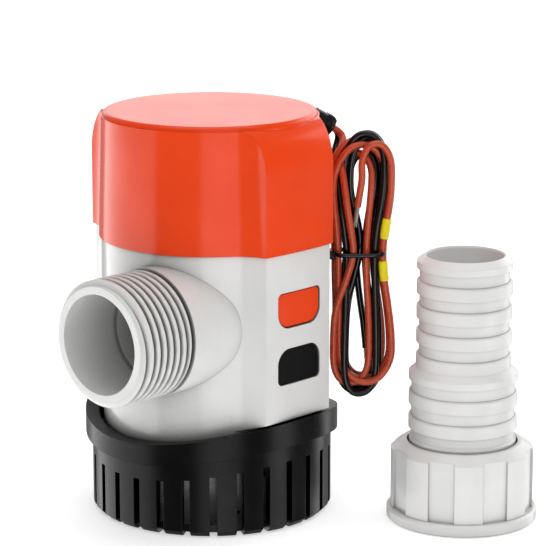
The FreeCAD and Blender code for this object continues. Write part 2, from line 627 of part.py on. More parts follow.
def make_commutator():
    z0, z1 = COMMUTATOR_Z
    ring = turned([(SHAFT_R, z0 - 0.9), (COMMUTATOR_R + 1, z0 - 0.9), (COMMUTATOR_R + 1, z0),
                   (COMMUTATOR_R, z0),
                   (COMMUTATOR_R, z1), (SHAFT_R, z1)])
    gaps = [spun(block(COMMUTATOR_R - 0.8, COMMUTATOR_R + 2, -0.25, 0.25, z0 - 2, z1 + 1), 360.0 / POLES * i)
            for i in range(POLES)]
    return ring.cut(gaps)


def make_brush():
    length, width, height = BRUSH_SIZE
    start = COMMUTATOR_R + 0.1
    brush = block(start - 1, start + length, -width / 2, width / 2, BRUSH_Z, BRUSH_Z + height)
    return brush.cut(cylinder(start, BRUSH_Z - 1, BRUSH_Z + height + 1))


def make_brush_spring():
    """Bent leaf that presses on the brush from behind."""
    _, width, height = BRUSH_SIZE
    back = COMMUTATOR_R + 0.1 + BRUSH_SIZE[0]
    leaf = block(back, back + 0.4, -width / 2, width / 2, BRUSH_Z + 0.4, BRUSH_Z + height)
    bend = block(back, back + 3.0, -width / 2, width / 2, BRUSH_Z + height, BRUSH_Z + height + 0.4)
    return leaf.fuse(bend)


def make_end_bell():
    """Moulded end of the motor with the upper bearing and a box round each brush."""
    length, width, height = BRUSH_SIZE
    can_z = CAN_Z[1]
    bell = turned([(BUSH_R, can_z), (CAN_R - CAN_T - 0.05, can_z - 1.6), (CAN_R - CAN_T - 0.05, can_z),
                   (CAN_R, can_z), (CAN_R, can_z + 2.2), (BUSH_R + 1.8, can_z + 2.2),
                   (BUSH_R + 1.8, can_z + 5.2),
                   (BUSH_R, can_z + 5.2)])
    guide = block(COMMUTATOR_R + 1.8, COMMUTATOR_R + 4.8, -width / 2 - 1.1, width / 2 + 1.1,
                  BRUSH_Z - 1.1, can_z)
    way = block(COMMUTATOR_R - 1, COMMUTATOR_R + 9, -width / 2 - 0.05, width / 2 + 0.05, BRUSH_Z - 0.05,
                BRUSH_Z + height + 0.05)
    mouth = cylinder(COMMUTATOR_R + 0.6, can_z - 8, can_z - 0.6)
    return bell.multiFuse(both_sides(guide)).cut(both_sides(way) + [mouth])


def make_terminals():
    tab = block(9.0, 9.8, -1.6, 1.6, CAN_Z[1] + 2.2, CAN_Z[1] + 7.6)
    return Part.makeCompound(both_sides(tab))


# ------------------------------------------------------------------------- impeller
def make_vane():
    """Backward-curved vane: a thin crescent between two arcs, from the eye to the rim."""
    def curve(offset):
        points = [polar(EYE_R - 1.5, 0), polar(12.6, -20), polar(IMPELLER_R - 0.2, -48)]
        moved = []
        for p in points:
            side = vec(-p.y, p.x).normalize()
            moved.append(p + side * offset + vec(0, 0, IMPELLER_Z[0]))
        return moved
    outer, inner = curve(VANE_T / 2), curve(-VANE_T / 2)
    edges = [Part.Arc(*outer).toShape(), Part.LineSegment(outer[2], inner[2]).toShape(),
             Part.Arc(*inner[::-1]).toShape(), Part.LineSegment(inner[0], outer[0]).toShape()]
    return prism(edges, vec(0, 0, IMPELLER_Z[1] - IMPELLER_Z[0] - SHROUD_T + 0.1))


def make_impeller():
    z0, z1 = IMPELLER_Z
    shroud = turned([(SHAFT_R, z0 - 0.2), (HUB_R - 1, z0 - 0.2), (HUB_R, z0 + 1.2),
                     (HUB_R + 1.5, z1 - SHROUD_T),
                     (IMPELLER_R, z1 - SHROUD_T), (IMPELLER_R, z1), (HUB_R, z1), (HUB_R, z1 + 0.8),
                     (SHAFT_R, z1 + 0.8)])
    vane = make_vane()
    return shroud.multiFuse([spun(vane, 360.0 / VANES * i) for i in range(VANES)])


# ------------------------------------------------------------------------- gland and leads
def gland_frame():
    """Point on the cover's wall and the direction in which the gland points."""
    drop = math.radians(GLAND_DROP)
    out = polar(math.cos(drop), GLAND_ANGLE, -math.sin(drop))
    return polar(BODY_R + COVER_PROUD - COVER_DRAFT, GLAND_ANGLE, GLAND_Z), out


def gland_hole():
    wall, out = gland_frame()
    return Part.makeCylinder(GLAND_NECK_R + 0.02, GLAND_IN + 2, wall - out * (GLAND_IN + 0.05), out)


def make_gland():
    """Neck through the cover's wall, a collar against it and a hexagonal boot."""
    wall, out = gland_frame()
    neck = Part.makeCylinder(GLAND_NECK_R, GLAND_IN + 1, wall - out * GLAND_IN, out)
    collar = Part.makeCylinder(GLAND_COLLAR_R, GLAND_COLLAR_OUT + 1, wall - out, out)
    collar = collar.cut(cylinder(BODY_R + COVER_PROUD - COVER_DRAFT + GAP, GLAND_Z - 10, HEIGHT + 1))

    def hexagon(flats, z):
        corners = [polar(flats / 2 / math.cos(math.radians(30)), 60 * i + 30, z) for i in range(6)]
        return Part.makePolygon(corners + corners[:1])

    boot = Part.makeLoft([hexagon(GLAND_FLATS, GLAND_COLLAR_OUT - 0.1),
                          hexagon(GLAND_FLATS, GLAND_OUT - 1.0),
                          hexagon(GLAND_FLATS - 1.2, GLAND_OUT)], True, True)
    boot.Placement = FreeCAD.Placement(wall, FreeCAD.Rotation(vec(0, 0, 1), out))
    return neck.multiFuse([collar, boot])


def hang(out, across, z):
    """Point beside the body: out from its round wall along the hanging direction, across it, and up."""
    return polar(BODY_R + out, HANG_ANGLE, z) + polar(across, HANG_ANGLE + 90)


def lead_route(side):
    """Free stretch of one lead: it folds down hard at the gland and runs to the back of the hank."""
    wall, out = gland_frame()
    start = wall + out * GLAND_OUT + polar(side, GLAND_ANGLE + 90)
    if side > 0:
        rest = [hang(6.0, 9.0, 99.5), hang(6.3, 8.8, 97.0), hang(6.3, 8.1, 93.8), hang(6.0, 6.9, 89.6),
                hang(5.7, 5.4, 85.3), hang(5.6, 4.0, 81.1), hang(5.7, HANK_ACROSS[1], 77.6)]
    else:
        rest = [hang(6.6, 6.6, 99.5), hang(7.1, 6.4, 97.0), hang(7.3, 5.9, 93.8), hang(7.5, 5.1, 89.6),
                hang(7.8, 4.3, 85.3), hang(8.2, 3.5, 81.1), hang(8.6, HANK_ACROSS[1], 77.6)]
    return [start, start + out * LEAD_EXIT] + rest


def smooth_path(points, name):
    """Straight runs joined by tangent arcs, each as large as its two runs allow."""
    edges, radii, last = [], [], points[0]
    for a, b, c in zip(points, points[1:], points[2:]):
        before, after = (b - a), (c - b)
        turn = before.getAngle(after)
        cut = 0.45 * min(before.Length, after.Length)
        radius = cut / math.tan(turn / 2)
        enter = b - before.normalize() * cut
        leave = b + after.normalize() * cut
        bisector = (enter + leave) * 0.5 - b
        sag = radius / math.cos(turn / 2) - radius
        middle = b + bisector.normalize() * sag
        edges += [Part.LineSegment(last, enter).toShape(), Part.Arc(enter, middle, leave).toShape()]
        radii.append(radius)
        last = leave
    edges.append(Part.LineSegment(last, points[-1]).toShape())
    print(name, "arc radii:", [round(r, 1) for r in radii])
    return Part.Wire(edges)


def make_lead(side, name):
    points = lead_route(side)
    wire = smooth_path(points, name)
    start = wire.Edges[0].tangentAt(wire.Edges[0].FirstParameter)
    section = Part.Wire(Part.Circle(points[0], start, LEAD_D / 2).toShape())
    solid = wire.makePipeShell([section], True, False)
    expected = math.pi * LEAD_D ** 2 / 4 * wire.Length
    print(name, "length %.1f volume ratio %.4f" % (wire.Length, solid.Volume / expected))
    return solid


def make_hank():
    """Outer shape of the tied hank: two lobes with a waist at the tie."""
    outline = [(4.3, 77.0), (3.7, 88.0), (6.7, 98.4), (11.5, 101.2), (16.3, 98.8), (18.9, 90.5),
               (18.1, 84.6),
               (14.9, 80.8), (14.9, 61.0), (17.6, 55.0), (18.3, 46.0), (17.9, 36.0), (15.4, 29.8),
               (8.1, 29.4),
               (3.7, 35.0), (3.2, 46.0), (3.7, 58.0), (4.3, 65.0)]
    corners = [hang(out, HANK_ACROSS[0], z) for out, z in outline]
    face = Part.Face(Part.makePolygon(corners + corners[:1]))
    return face.extrude(polar(HANK_ACROSS[1] - HANK_ACROSS[0], HANG_ANGLE + 90))


def hank_box(out0, out1, across0, across1, z0, z1):
    corners = [hang(out0, across0, z0), hang(out1, across0, z0), hang(out1, across1, z0),
               hang(out0, across1, z0)]
    return Part.Face(Part.makePolygon(corners + corners[:1])).extrude(vec(0, 0, z1 - z0))


def make_tie():
    low, high = HANK_ACROSS
    near, far = TIE_WAIST
    band = hank_box(near - TIE_T, far + TIE_T, low - 0.05 - TIE_T, high + 0.05 + TIE_T, *TIE_Z)
    band = band.cut(hank_box(near, far, low - 0.05, high + 0.05, TIE_Z[0] - 1, TIE_Z[1] + 1))
    head = hank_box(far + TIE_T, far + TIE_T + 1.6, -2.6, 0.6, *TIE_Z)
    return band.fuse(head)


def make_sleeve(z0, z1):
    place = hang(*SLEEVE_AT, 0)
    return tube(SLEEVE_R, LEAD_D / 2, z0, z1, place.x, place.y)


def make_wire_end(out, across, z0, z1):
    place = hang(out, across, 0)
    return cylinder(BARE_R, z0, z1, place.x, place.y)


# ------------------------------------------------------------------------- hose adapter
def tail_flange_z():
    top = NUT_H - NUT_LIP_T - 0.2
    return top - TAIL_FLANGE_T, top


def make_tail():
    low, high = tail_flange_z()
    shoulder = ADAPTER_H - (SMALL_LANDS - 1) * BARB_PITCH - LAND_H
    profile = [(TAIL_BORE_R, low), (NUT_BORE_R - GAP, low), (NUT_BORE_R - GAP, high),
               (LARGE_ROOT_R + 0.5, high),
               (LARGE_ROOT_R + 0.5, NUT_H + 0.6), (LARGE_ROOT_R, NUT_H + 1.2)]
    for i in range(LARGE_LANDS):
        z = shoulder - (LARGE_LANDS - i) * BARB_PITCH + (BARB_PITCH - LAND_H)
        top = z + LAND_H
        profile += [(LARGE_ROOT_R, z), (LARGE_BARB_R, z), (LARGE_BARB_R, top - 0.4)]
        if i < LARGE_LANDS - 1:
            profile += [(LARGE_BARB_R - 0.4, top), (LARGE_ROOT_R, top)]
    profile[-1:] = [(LARGE_BARB_R, shoulder - 1.6), (SMALL_BARB_R, shoulder)]
    for i in range(SMALL_LANDS):
        z = shoulder + i * BARB_PITCH
        top = z + LAND_H
        if i:
            profile += [(SMALL_ROOT_R, z), (SMALL_BARB_R, z)]
        if i < SMALL_LANDS - 1:
            profile += [(SMALL_BARB_R, top - 0.4), (SMALL_BARB_R - 0.4, top), (SMALL_ROOT_R, top)]
    profile += [(SMALL_BARB_R, ADAPTER_H - MOUTH_CHAMFER), (TAIL_BORE_R + 0.25, ADAPTER_H),
                (TAIL_BORE_R, ADAPTER_H - 0.6)]
    return moved(turned(profile))


def moved(shape):
    copy = shape.copy()
    copy.translate(vec(*ADAPTER_AT))
    return copy


def make_nut():
    hole, seat_r = LARGE_BARB_R + GAP, NUT_BORE_R + NUT_RELIEF
    nut = turned([(NUT_BORE_R, 0), (NUT_FLANGE_R - 0.5, 0), (NUT_FLANGE_R, 0.5),
                  (NUT_FLANGE_R, NUT_FLANGE_H - 0.5),
                  (NUT_FLANGE_R - 0.5, NUT_FLANGE_H), (NUT_R, NUT_FLANGE_H), (NUT_R, NUT_H - 2.2),
                  (NUT_R - 3.2, NUT_H), (hole, NUT_H), (hole, NUT_H - NUT_LIP_T),
                  (seat_r, NUT_H - NUT_LIP_T),
                  (seat_r, NUT_THREAD_L), (NUT_BORE_R, NUT_THREAD_L)])
    step = 360.0 / NUT_RIBS
    cutters = []
    for i in range(NUT_RIBS):
        width = 2 * (NUT_R - NUT_RECESS) * math.tan(math.radians(step / 4))
        flat = block(NUT_R - NUT_RECESS, NUT_R + 2, -width / 2, width / 2, NUT_FLANGE_H, NUT_H - 1.6)
        cutters.append(spun(flat, step * (i + 0.5)))
    return moved(nut.cut(cutters))


def make_washer():
    top = tail_flange_z()[0]
    return moved(tube(NUT_BORE_R - 0.45, TAIL_BORE_R + 0.9, top - WASHER_T, top))


# ------------------------------------------------------------------------- assembly
def build():
    cartridge_latch, strainer_latch = make_cartridge_latch(), make_strainer_latch()
    magnet, brush, spring = make_magnet(), make_brush(), make_brush_spring()
    return {
        "strainer_cup": make_strainer(),
        "strainer_latch_right": strainer_latch,
        "strainer_latch_left": spun(strainer_latch, 180),
        "pump_housing": make_housing(),
        "outlet_spigot": make_spigot(),
        "suction_plate": make_suction_plate(),
        "plate_screws": make_plate_screws(),
        "motor_cover": make_cover(),
        "cartridge_latch_right": cartridge_latch,
        "cartridge_latch_left": spun(cartridge_latch, 180),
        "motor_barrel": make_barrel(),
        "barrel_o_ring": make_o_ring(),
        "shaft_seal": make_seal(),
        "motor_can": make_can(),
        "motor_end_bell": make_end_bell(),
        "lower_bush": bush(CAN_Z[0] - 1.4, CAN_Z[0] + 3.0),
        "upper_bush": bush(CAN_Z[1] + 0.6, CAN_Z[1] + 5.0),
        "magnet_right": magnet,
        "magnet_left": spun(magnet, 180),
        "brush_right": brush,
        "brush_left": spun(brush, 180),
        "brush_springs": Part.makeCompound(both_sides(spring)),
        "motor_terminals": make_terminals(),
        "motor_shaft": cylinder(SHAFT_R, *SHAFT_Z),
        "armature_core": make_core(),
        "armature_windings": make_windings(),
        "commutator": make_commutator(),
        "impeller": make_impeller(),
        "cable_gland": make_gland(),
        "lead_brown": make_lead(-LEAD_APART, "lead_brown"),
        "lead_black": make_lead(LEAD_APART, "lead_black"),
        "lead_hank": make_hank(),
        "hank_tie": make_tie(),
        "marker_sleeve_upper": make_sleeve(74.1, 79.7),
        "marker_sleeve_lower": make_sleeve(62.6, 68.2),
        "wire_end_brown": make_wire_end(9.7, HANK_ACROSS[0] - 0.8, 77.4, 83.0),
        "wire_end_black": make_wire_end(12.7, HANK_ACROSS[1] + 0.8, 36.0, 42.0),
        "adapter_tail": make_tail(),
        "union_nut": make_nut(),
        "nut_washer": make_washer(),
    }


os.makedirs("parts", exist_ok=True)
for name, shape in build().items():
    solids = shape.Solids
    print("%-24s %2d solid  %9.1f mm3  %s" % (name, len(solids), shape.Volume,
                                              "" if shape.isValid() else "INVALID"))
    shape.exportStep("parts/%s.step" % name)
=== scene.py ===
import json
import logging
import math
from dataclasses import dataclass, field
from enum import Enum

import bmesh
import bpy
import numpy as np
from mathutils import Matrix, Vector


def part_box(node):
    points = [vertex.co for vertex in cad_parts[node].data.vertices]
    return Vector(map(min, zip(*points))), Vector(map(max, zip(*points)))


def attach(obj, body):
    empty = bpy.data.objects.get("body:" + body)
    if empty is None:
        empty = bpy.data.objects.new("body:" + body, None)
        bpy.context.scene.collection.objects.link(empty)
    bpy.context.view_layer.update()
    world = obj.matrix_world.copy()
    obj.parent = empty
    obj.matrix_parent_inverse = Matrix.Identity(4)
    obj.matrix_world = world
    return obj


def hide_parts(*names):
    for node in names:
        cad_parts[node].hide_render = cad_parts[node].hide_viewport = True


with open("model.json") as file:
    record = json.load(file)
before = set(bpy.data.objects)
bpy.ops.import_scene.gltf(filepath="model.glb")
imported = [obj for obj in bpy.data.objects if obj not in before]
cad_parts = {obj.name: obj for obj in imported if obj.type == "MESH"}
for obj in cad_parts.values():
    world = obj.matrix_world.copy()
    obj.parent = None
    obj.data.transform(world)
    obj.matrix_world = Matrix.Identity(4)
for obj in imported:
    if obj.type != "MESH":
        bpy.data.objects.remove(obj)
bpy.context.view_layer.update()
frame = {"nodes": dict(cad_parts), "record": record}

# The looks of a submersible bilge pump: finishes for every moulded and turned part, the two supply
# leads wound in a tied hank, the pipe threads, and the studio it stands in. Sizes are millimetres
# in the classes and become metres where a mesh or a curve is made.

MM = 0.001
log = logging.getLogger("bilge_pump")


# ------------------------------------------------------------------------------ shared helpers
def linear(colour: str) -> tuple[float, float, float, float]:
    """Turns an sRGB hex colour into the linear values that a shader takes.

    Args:
        colour: six hex digits, with or without a leading hash.
    Returns:
        Linear red, green and blue, and an alpha of 1.
    """
    raw = np.array([int(colour.lstrip("#")[i:i + 2], 16) for i in (0, 2, 4)]) / 255.0
    red, green, blue = np.where(raw <= 0.04045, raw / 12.92, ((raw + 0.055) / 1.055) ** 2.4)
    return float(red), float(green), float(blue), 1.0


def add_node(tree: bpy.types.NodeTree, kind: str, settings: dict | None = None,
             links: dict | None = None) -> bpy.types.Node:
    """Adds one node with its settings and its links.

    Args:
        tree: the material's node tree.
        kind: the node's type name.
        settings: attributes by their lower-case name, and input values by socket name or number.
        links: what feeds each input, by socket name or number.
    Returns:
        The new node.
    """
    node = tree.nodes.new(kind)
    for name, value in (settings or {}).items():
        if isinstance(name, str) and hasattr(node, name):
            setattr(node, name, value)
        else:
            node.inputs[name].default_value = value
    for name, source in (links or {}).items():
        tree.links.new(source, node.inputs[name])
    return node


def unit(vectors: np.ndarray) -> np.ndarray:
    """Vectors of length one, along the last axis."""
    return vectors / np.linalg.norm(vectors, axis=-1, keepdims=True)


def smooth_step(low: float, high: float, value: np.ndarray) -> np.ndarray:
    """3 s^2 - 2 s^3, where s goes from 0 to 1 between low and high."""
    share = np.clip((value - low) / (high - low), 0.0, 1.0)
    return share * share * (3.0 - 2.0 * share)


def mesh_piece(name: str, grids: list[np.ndarray], wrap_rows: bool = False,
               capped: bool = False) -> bpy.types.Object:
    """Puts grids of points, rows along a path and columns round it, into one closed mesh.

    Args:
        name: the piece's name.
        grids: arrays of rows x columns x 3, in metres.
        wrap_rows: the last row joins the first, as round a ring.
        capped: a flat face closes each end.
    Returns:
        The piece, linked to the scene, smooth, with its faces pointing outwards.
    """
    points, faces, first = [], [], 0
    for grid in grids:
        rows, columns = grid.shape[:2]
        index = first + np.arange(rows * columns).reshape(rows, columns)
        if capped:
            faces += [index[0].tolist(), index[-1][::-1].tolist()]
        index = np.hstack([index, index[:, :1]])
        if wrap_rows:
            index = np.vstack([index, index[:1]])
        corners = (index[:-1, :-1], index[1:, :-1], index[1:, 1:], index[:-1, 1:])
        faces += np.stack(corners, axis=-1).reshape(-1, 4).tolist()
        points.append(grid.reshape(-1, 3))
        first += rows * columns
    mesh = bpy.data.meshes.new(name)
    mesh.from_pydata(np.vstack(points).tolist(), [], faces)
    shell = bmesh.new()
    shell.from_mesh(mesh)
    bmesh.ops.recalc_face_normals(shell, faces=shell.faces)
    shell.to_mesh(mesh)
    shell.free()
    mesh.polygons.foreach_set("use_smooth", np.ones(len(mesh.polygons), dtype=bool))
    mesh.set_sharp_from_angle(angle=math.radians(38.0))
    piece = bpy.data.objects.new(name, mesh)
    bpy.context.scene.collection.objects.link(piece)
    return piece


def tube(path: np.ndarray, radius: np.ndarray | float, up: tuple[float, float, float],
         sides: int = 14, closed: bool = False) -> np.ndarray:
    """A round profile carried along a path: p(s, a) = path(s) + r(s) (cos a e1 + sin a e2).

    Args:
        path: points in metres.
        radius: one radius in metres, or one for each point.
        up: a direction that the path never runs along, which sets e1 = up x tangent.
        sides: points round the profile.
        closed: the path returns to its first point.
    Returns:
        Rows along the path and columns round it.
    """
    if closed:
        tangent = unit(np.roll(path, -1, axis=0) - np.roll(path, 1, axis=0))
    else:
        tangent = unit(np.gradient(path, axis=0))
    first = unit(np.cross(np.asarray(up), tangent))
    second = np.cross(tangent, first)
    angle = np.linspace(0.0, 2.0 * np.pi, sides, endpoint=False)[None, :, None]
    reach = np.broadcast_to(np.asarray(radius, dtype=float), (len(path),))[:, None, None]
    ring = np.cos(angle) * first[:, None, :] + np.sin(angle) * second[:, None, :]
    return path[:, None, :] + reach * ring


def dress(piece: bpy.types.Object, material: bpy.types.Material) -> None:
    """Gives a piece its material in every slot it has, or in a new one."""
    if not piece.material_slots:
        piece.data.materials.append(material)
    for place in piece.material_slots:
        place.material = material


# ------------------------------------------------------------------------------ finishes
def bare_material(name: str) -> tuple[bpy.types.Material, bpy.types.NodeTree, bpy.types.Node]:
    """An empty node material with one shader in it, its tree and that shader."""
    material = bpy.data.materials.new(name)
    material.use_nodes = True
    tree = material.node_tree
    return material, tree, tree.nodes["Principled BSDF"]


@dataclass(frozen=True)
class MouldedPlastic:
    """An injection-moulded thermoplastic, coloured right through."""

    name: str
    colour: str
    flow_colour: str          # where the melt met or cooled last
    roughness: float
    roughness_spread: float
    skin_mm: float            # size of the mould's surface texture
    skin_depth_mm: float
    flow_mm: float = 14.0     # size of the drifts in shade
    edge_mm: float = 0.28     # radius that a mould leaves on an outer edge
    ior: float = 1.53
    glow: float = 0.0         # light that wanders under the surface of a pale plastic
    shine: float = 0.5        # how much the skin mirrors, 0.5 for bare polished resin
    painted_shade_colour: str = "000000"   # painted shade: the colour that deep bores, grooves and seams are darkened to
    painted_shade_mm: float = 7.0
    painted_shade_share: float = 0.0

    def build(self) -> bpy.types.Material:
        """Mixes two shades by slow flow noise, paints shade into hollows where asked, varies the
        gloss, and adds the mould's skin.
        """
        material, tree, shader = bare_material(self.name)
        place = add_node(tree, "ShaderNodeTexCoord").outputs["Object"]
        flow = add_node(tree, "ShaderNodeTexNoise",
                        {"Scale": 1.0 / (self.flow_mm * MM), "Detail": 3.0, "Roughness": 0.55},
                        {"Vector": place}).outputs["Fac"]
        share = add_node(tree, "ShaderNodeMapRange",
                         {"From Min": 0.35, "From Max": 0.75, "To Min": 0.0, "To Max": 1.0},
                         {"Value": flow}).outputs["Result"]
        shade = add_node(tree, "ShaderNodeMix",
                         {"data_type": "RGBA", 6: linear(self.colour), 7: linear(self.flow_colour)},
                         {0: share}).outputs[2]
        # Painted shade: ambient occlusion mixes the colour towards a dark grey in bores, grooves,
        # seams and beside neighbouring parts.
        if self.painted_shade_share:
            occlusion = add_node(tree, "ShaderNodeAmbientOcclusion",
                              {"samples": 8, "Distance": self.painted_shade_mm * MM}).outputs["AO"]
            depth = add_node(tree, "ShaderNodeMapRange",
                             {"From Min": 0.8, "From Max": 0.3, "To Min": 0.0,
                              "To Max": self.painted_shade_share}, {"Value": occlusion}).outputs["Result"]
            shade = add_node(tree, "ShaderNodeMix",
                             {"data_type": "RGBA", 7: linear(self.painted_shade_colour)},
                             {0: depth, 6: shade}).outputs[2]
        skin = add_node(tree, "ShaderNodeTexNoise",
                        {"Scale": 1.0 / (self.skin_mm * MM), "Detail": 2.0, "Roughness": 0.6},
                        {"Vector": place}).outputs["Fac"]
        gloss = add_node(tree, "ShaderNodeMapRange",
                         {"From Min": 0.3, "From Max": 0.7,
                          "To Min": self.roughness - self.roughness_spread,
                          "To Max": self.roughness + self.roughness_spread},
                         {"Value": flow}).outputs["Result"]
        edge = add_node(tree, "ShaderNodeBevel", {"samples": 4, "Radius": self.edge_mm * MM})
        relief = add_node(tree, "ShaderNodeBump",
                          {"Strength": 0.6, "Distance": self.skin_depth_mm * MM},
                          {"Height": skin, "Normal": edge.outputs["Normal"]}).outputs["Normal"]
        tree.links.new(shade, shader.inputs["Base Color"])
        tree.links.new(gloss, shader.inputs["Roughness"])
        tree.links.new(relief, shader.inputs["Normal"])
        shader.inputs["IOR"].default_value = self.ior
        shader.inputs["Specular IOR Level"].default_value = self.shine
        if self.glow:
            shader.inputs["Subsurface Weight"].default_value = self.glow
            shader.inputs["Subsurface Radius"].default_value = (1.0, 0.9, 0.8)
            shader.inputs["Subsurface Scale"].default_value = 0.9 * MM
        return material


@dataclass(frozen=True)
class Elastomer:
    """A soft extruded or moulded rubber or PVC, with a slightly uneven skin."""

    name: str
    colour: str
    rubbed_colour: str        # paler where it has been handled
    roughness: float
    ripple_mm: float          # waves that the extruder leaves along the wire
    ripple_depth_mm: float
    ior: float = 1.52
    sheen: float = 0.0
    shine: float = 0.5

    def build(self) -> bpy.types.Material:
        """Two shades by patchy handling, and a low ripple in the skin."""
        material, tree, shader = bare_material(self.name)
        place = add_node(tree, "ShaderNodeTexCoord").outputs["Object"]
        patches = add_node(tree, "ShaderNodeTexNoise",
                           {"Scale": 1.0 / (4.5 * MM), "Detail": 4.0, "Roughness": 0.65},
                           {"Vector": place}).outputs["Fac"]
        share = add_node(tree, "ShaderNodeMapRange",
                         {"From Min": 0.45, "From Max": 0.8, "To Max": 0.8},
                         {"Value": patches}).outputs["Result"]
        shade = add_node(tree, "ShaderNodeMix",
                         {"data_type": "RGBA", 6: linear(self.colour),
                          7: linear(self.rubbed_colour)}, {0: share}).outputs[2]
        ripple = add_node(tree, "ShaderNodeTexNoise",
                          {"Scale": 1.0 / (self.ripple_mm * MM), "Detail": 1.0},
                          {"Vector": place}).outputs["Fac"]
        gloss = add_node(tree, "ShaderNodeMapRange",
                         {"From Min": 0.3, "From Max": 0.75, "To Min": self.roughness * 0.8,
                          "To Max": self.roughness * 1.3}, {"Value": patches}).outputs["Result"]
        relief = add_node(tree, "ShaderNodeBump",
                          {"Strength": 0.5, "Distance": self.ripple_depth_mm * MM},
                          {"Height": ripple}).outputs["Normal"]
        tree.links.new(shade, shader.inputs["Base Color"])
        tree.links.new(gloss, shader.inputs["Roughness"])
        tree.links.new(relief, shader.inputs["Normal"])
        shader.inputs["IOR"].default_value = self.ior
        shader.inputs["Sheen Weight"].default_value = self.sheen
        shader.inputs["Specular IOR Level"].default_value = self.shine
        return material


class Working(Enum):
    """How a metal surface was worked, as the stretch of its marks along X, Y and Z."""

    TURNED = (1.0, 1.0, 14.0)      # fine rings round an upright axis
    DRAWN = (9.0, 9.0, 1.0)        # lines along the wire or the drawn can
    GRAINED = (1.0, 1.0, 1.0)      # pores or crystals with no direction


@dataclass(frozen=True)
class WorkedMetal:
    """A metal with the marks of its making and a thin tarnish."""

    name: str
    colour: str
    tarnish: str
    roughness: float
    working: Working
    mark_mm: float
    mark_depth_mm: float
    metallic: float = 1.0

    def build(self) -> bpy.types.Material:
        """Stretched noise for the working marks, slow noise for the tarnish."""
        material, tree, shader = bare_material(self.name)
        place = add_node(tree, "ShaderNodeTexCoord").outputs["Object"]
        along = add_node(tree, "ShaderNodeMapping", {"Scale": self.working.value},
                         {"Vector": place}).outputs["Vector"]
        marks = add_node(tree, "ShaderNodeTexNoise",
                         {"Scale": 1.0 / (self.mark_mm * MM), "Detail": 3.0},
                         {"Vector": along}).outputs["Fac"]
        stain = add_node(tree, "ShaderNodeTexNoise",
                         {"Scale": 1.0 / (6.0 * MM), "Detail": 4.0}, {"Vector": place})
        share = add_node(tree, "ShaderNodeMapRange", {"From Min": 0.45, "From Max": 0.8},
                         {"Value": stain.outputs["Fac"]}).outputs["Result"]
        shade = add_node(tree, "ShaderNodeMix",
                         {"data_type": "RGBA", 6: linear(self.colour), 7: linear(self.tarnish)},
                         {0: share}).outputs[2]
        gloss = add_node(tree, "ShaderNodeMapRange",
                         {"From Min": 0.3, "From Max": 0.7, "To Min": self.roughness * 0.75,
                          "To Max": self.roughness * 1.35}, {"Value": marks}).outputs["Result"]
        relief = add_node(tree, "ShaderNodeBump",
                          {"Strength": 0.5, "Distance": self.mark_depth_mm * MM},
                          {"Height": marks}).outputs["Normal"]
        tree.links.new(shade, shader.inputs["Base Color"])
        tree.links.new(gloss, shader.inputs["Roughness"])
        tree.links.new(relief, shader.inputs["Normal"])
        shader.inputs["Metallic"].default_value = self.metallic
        return material


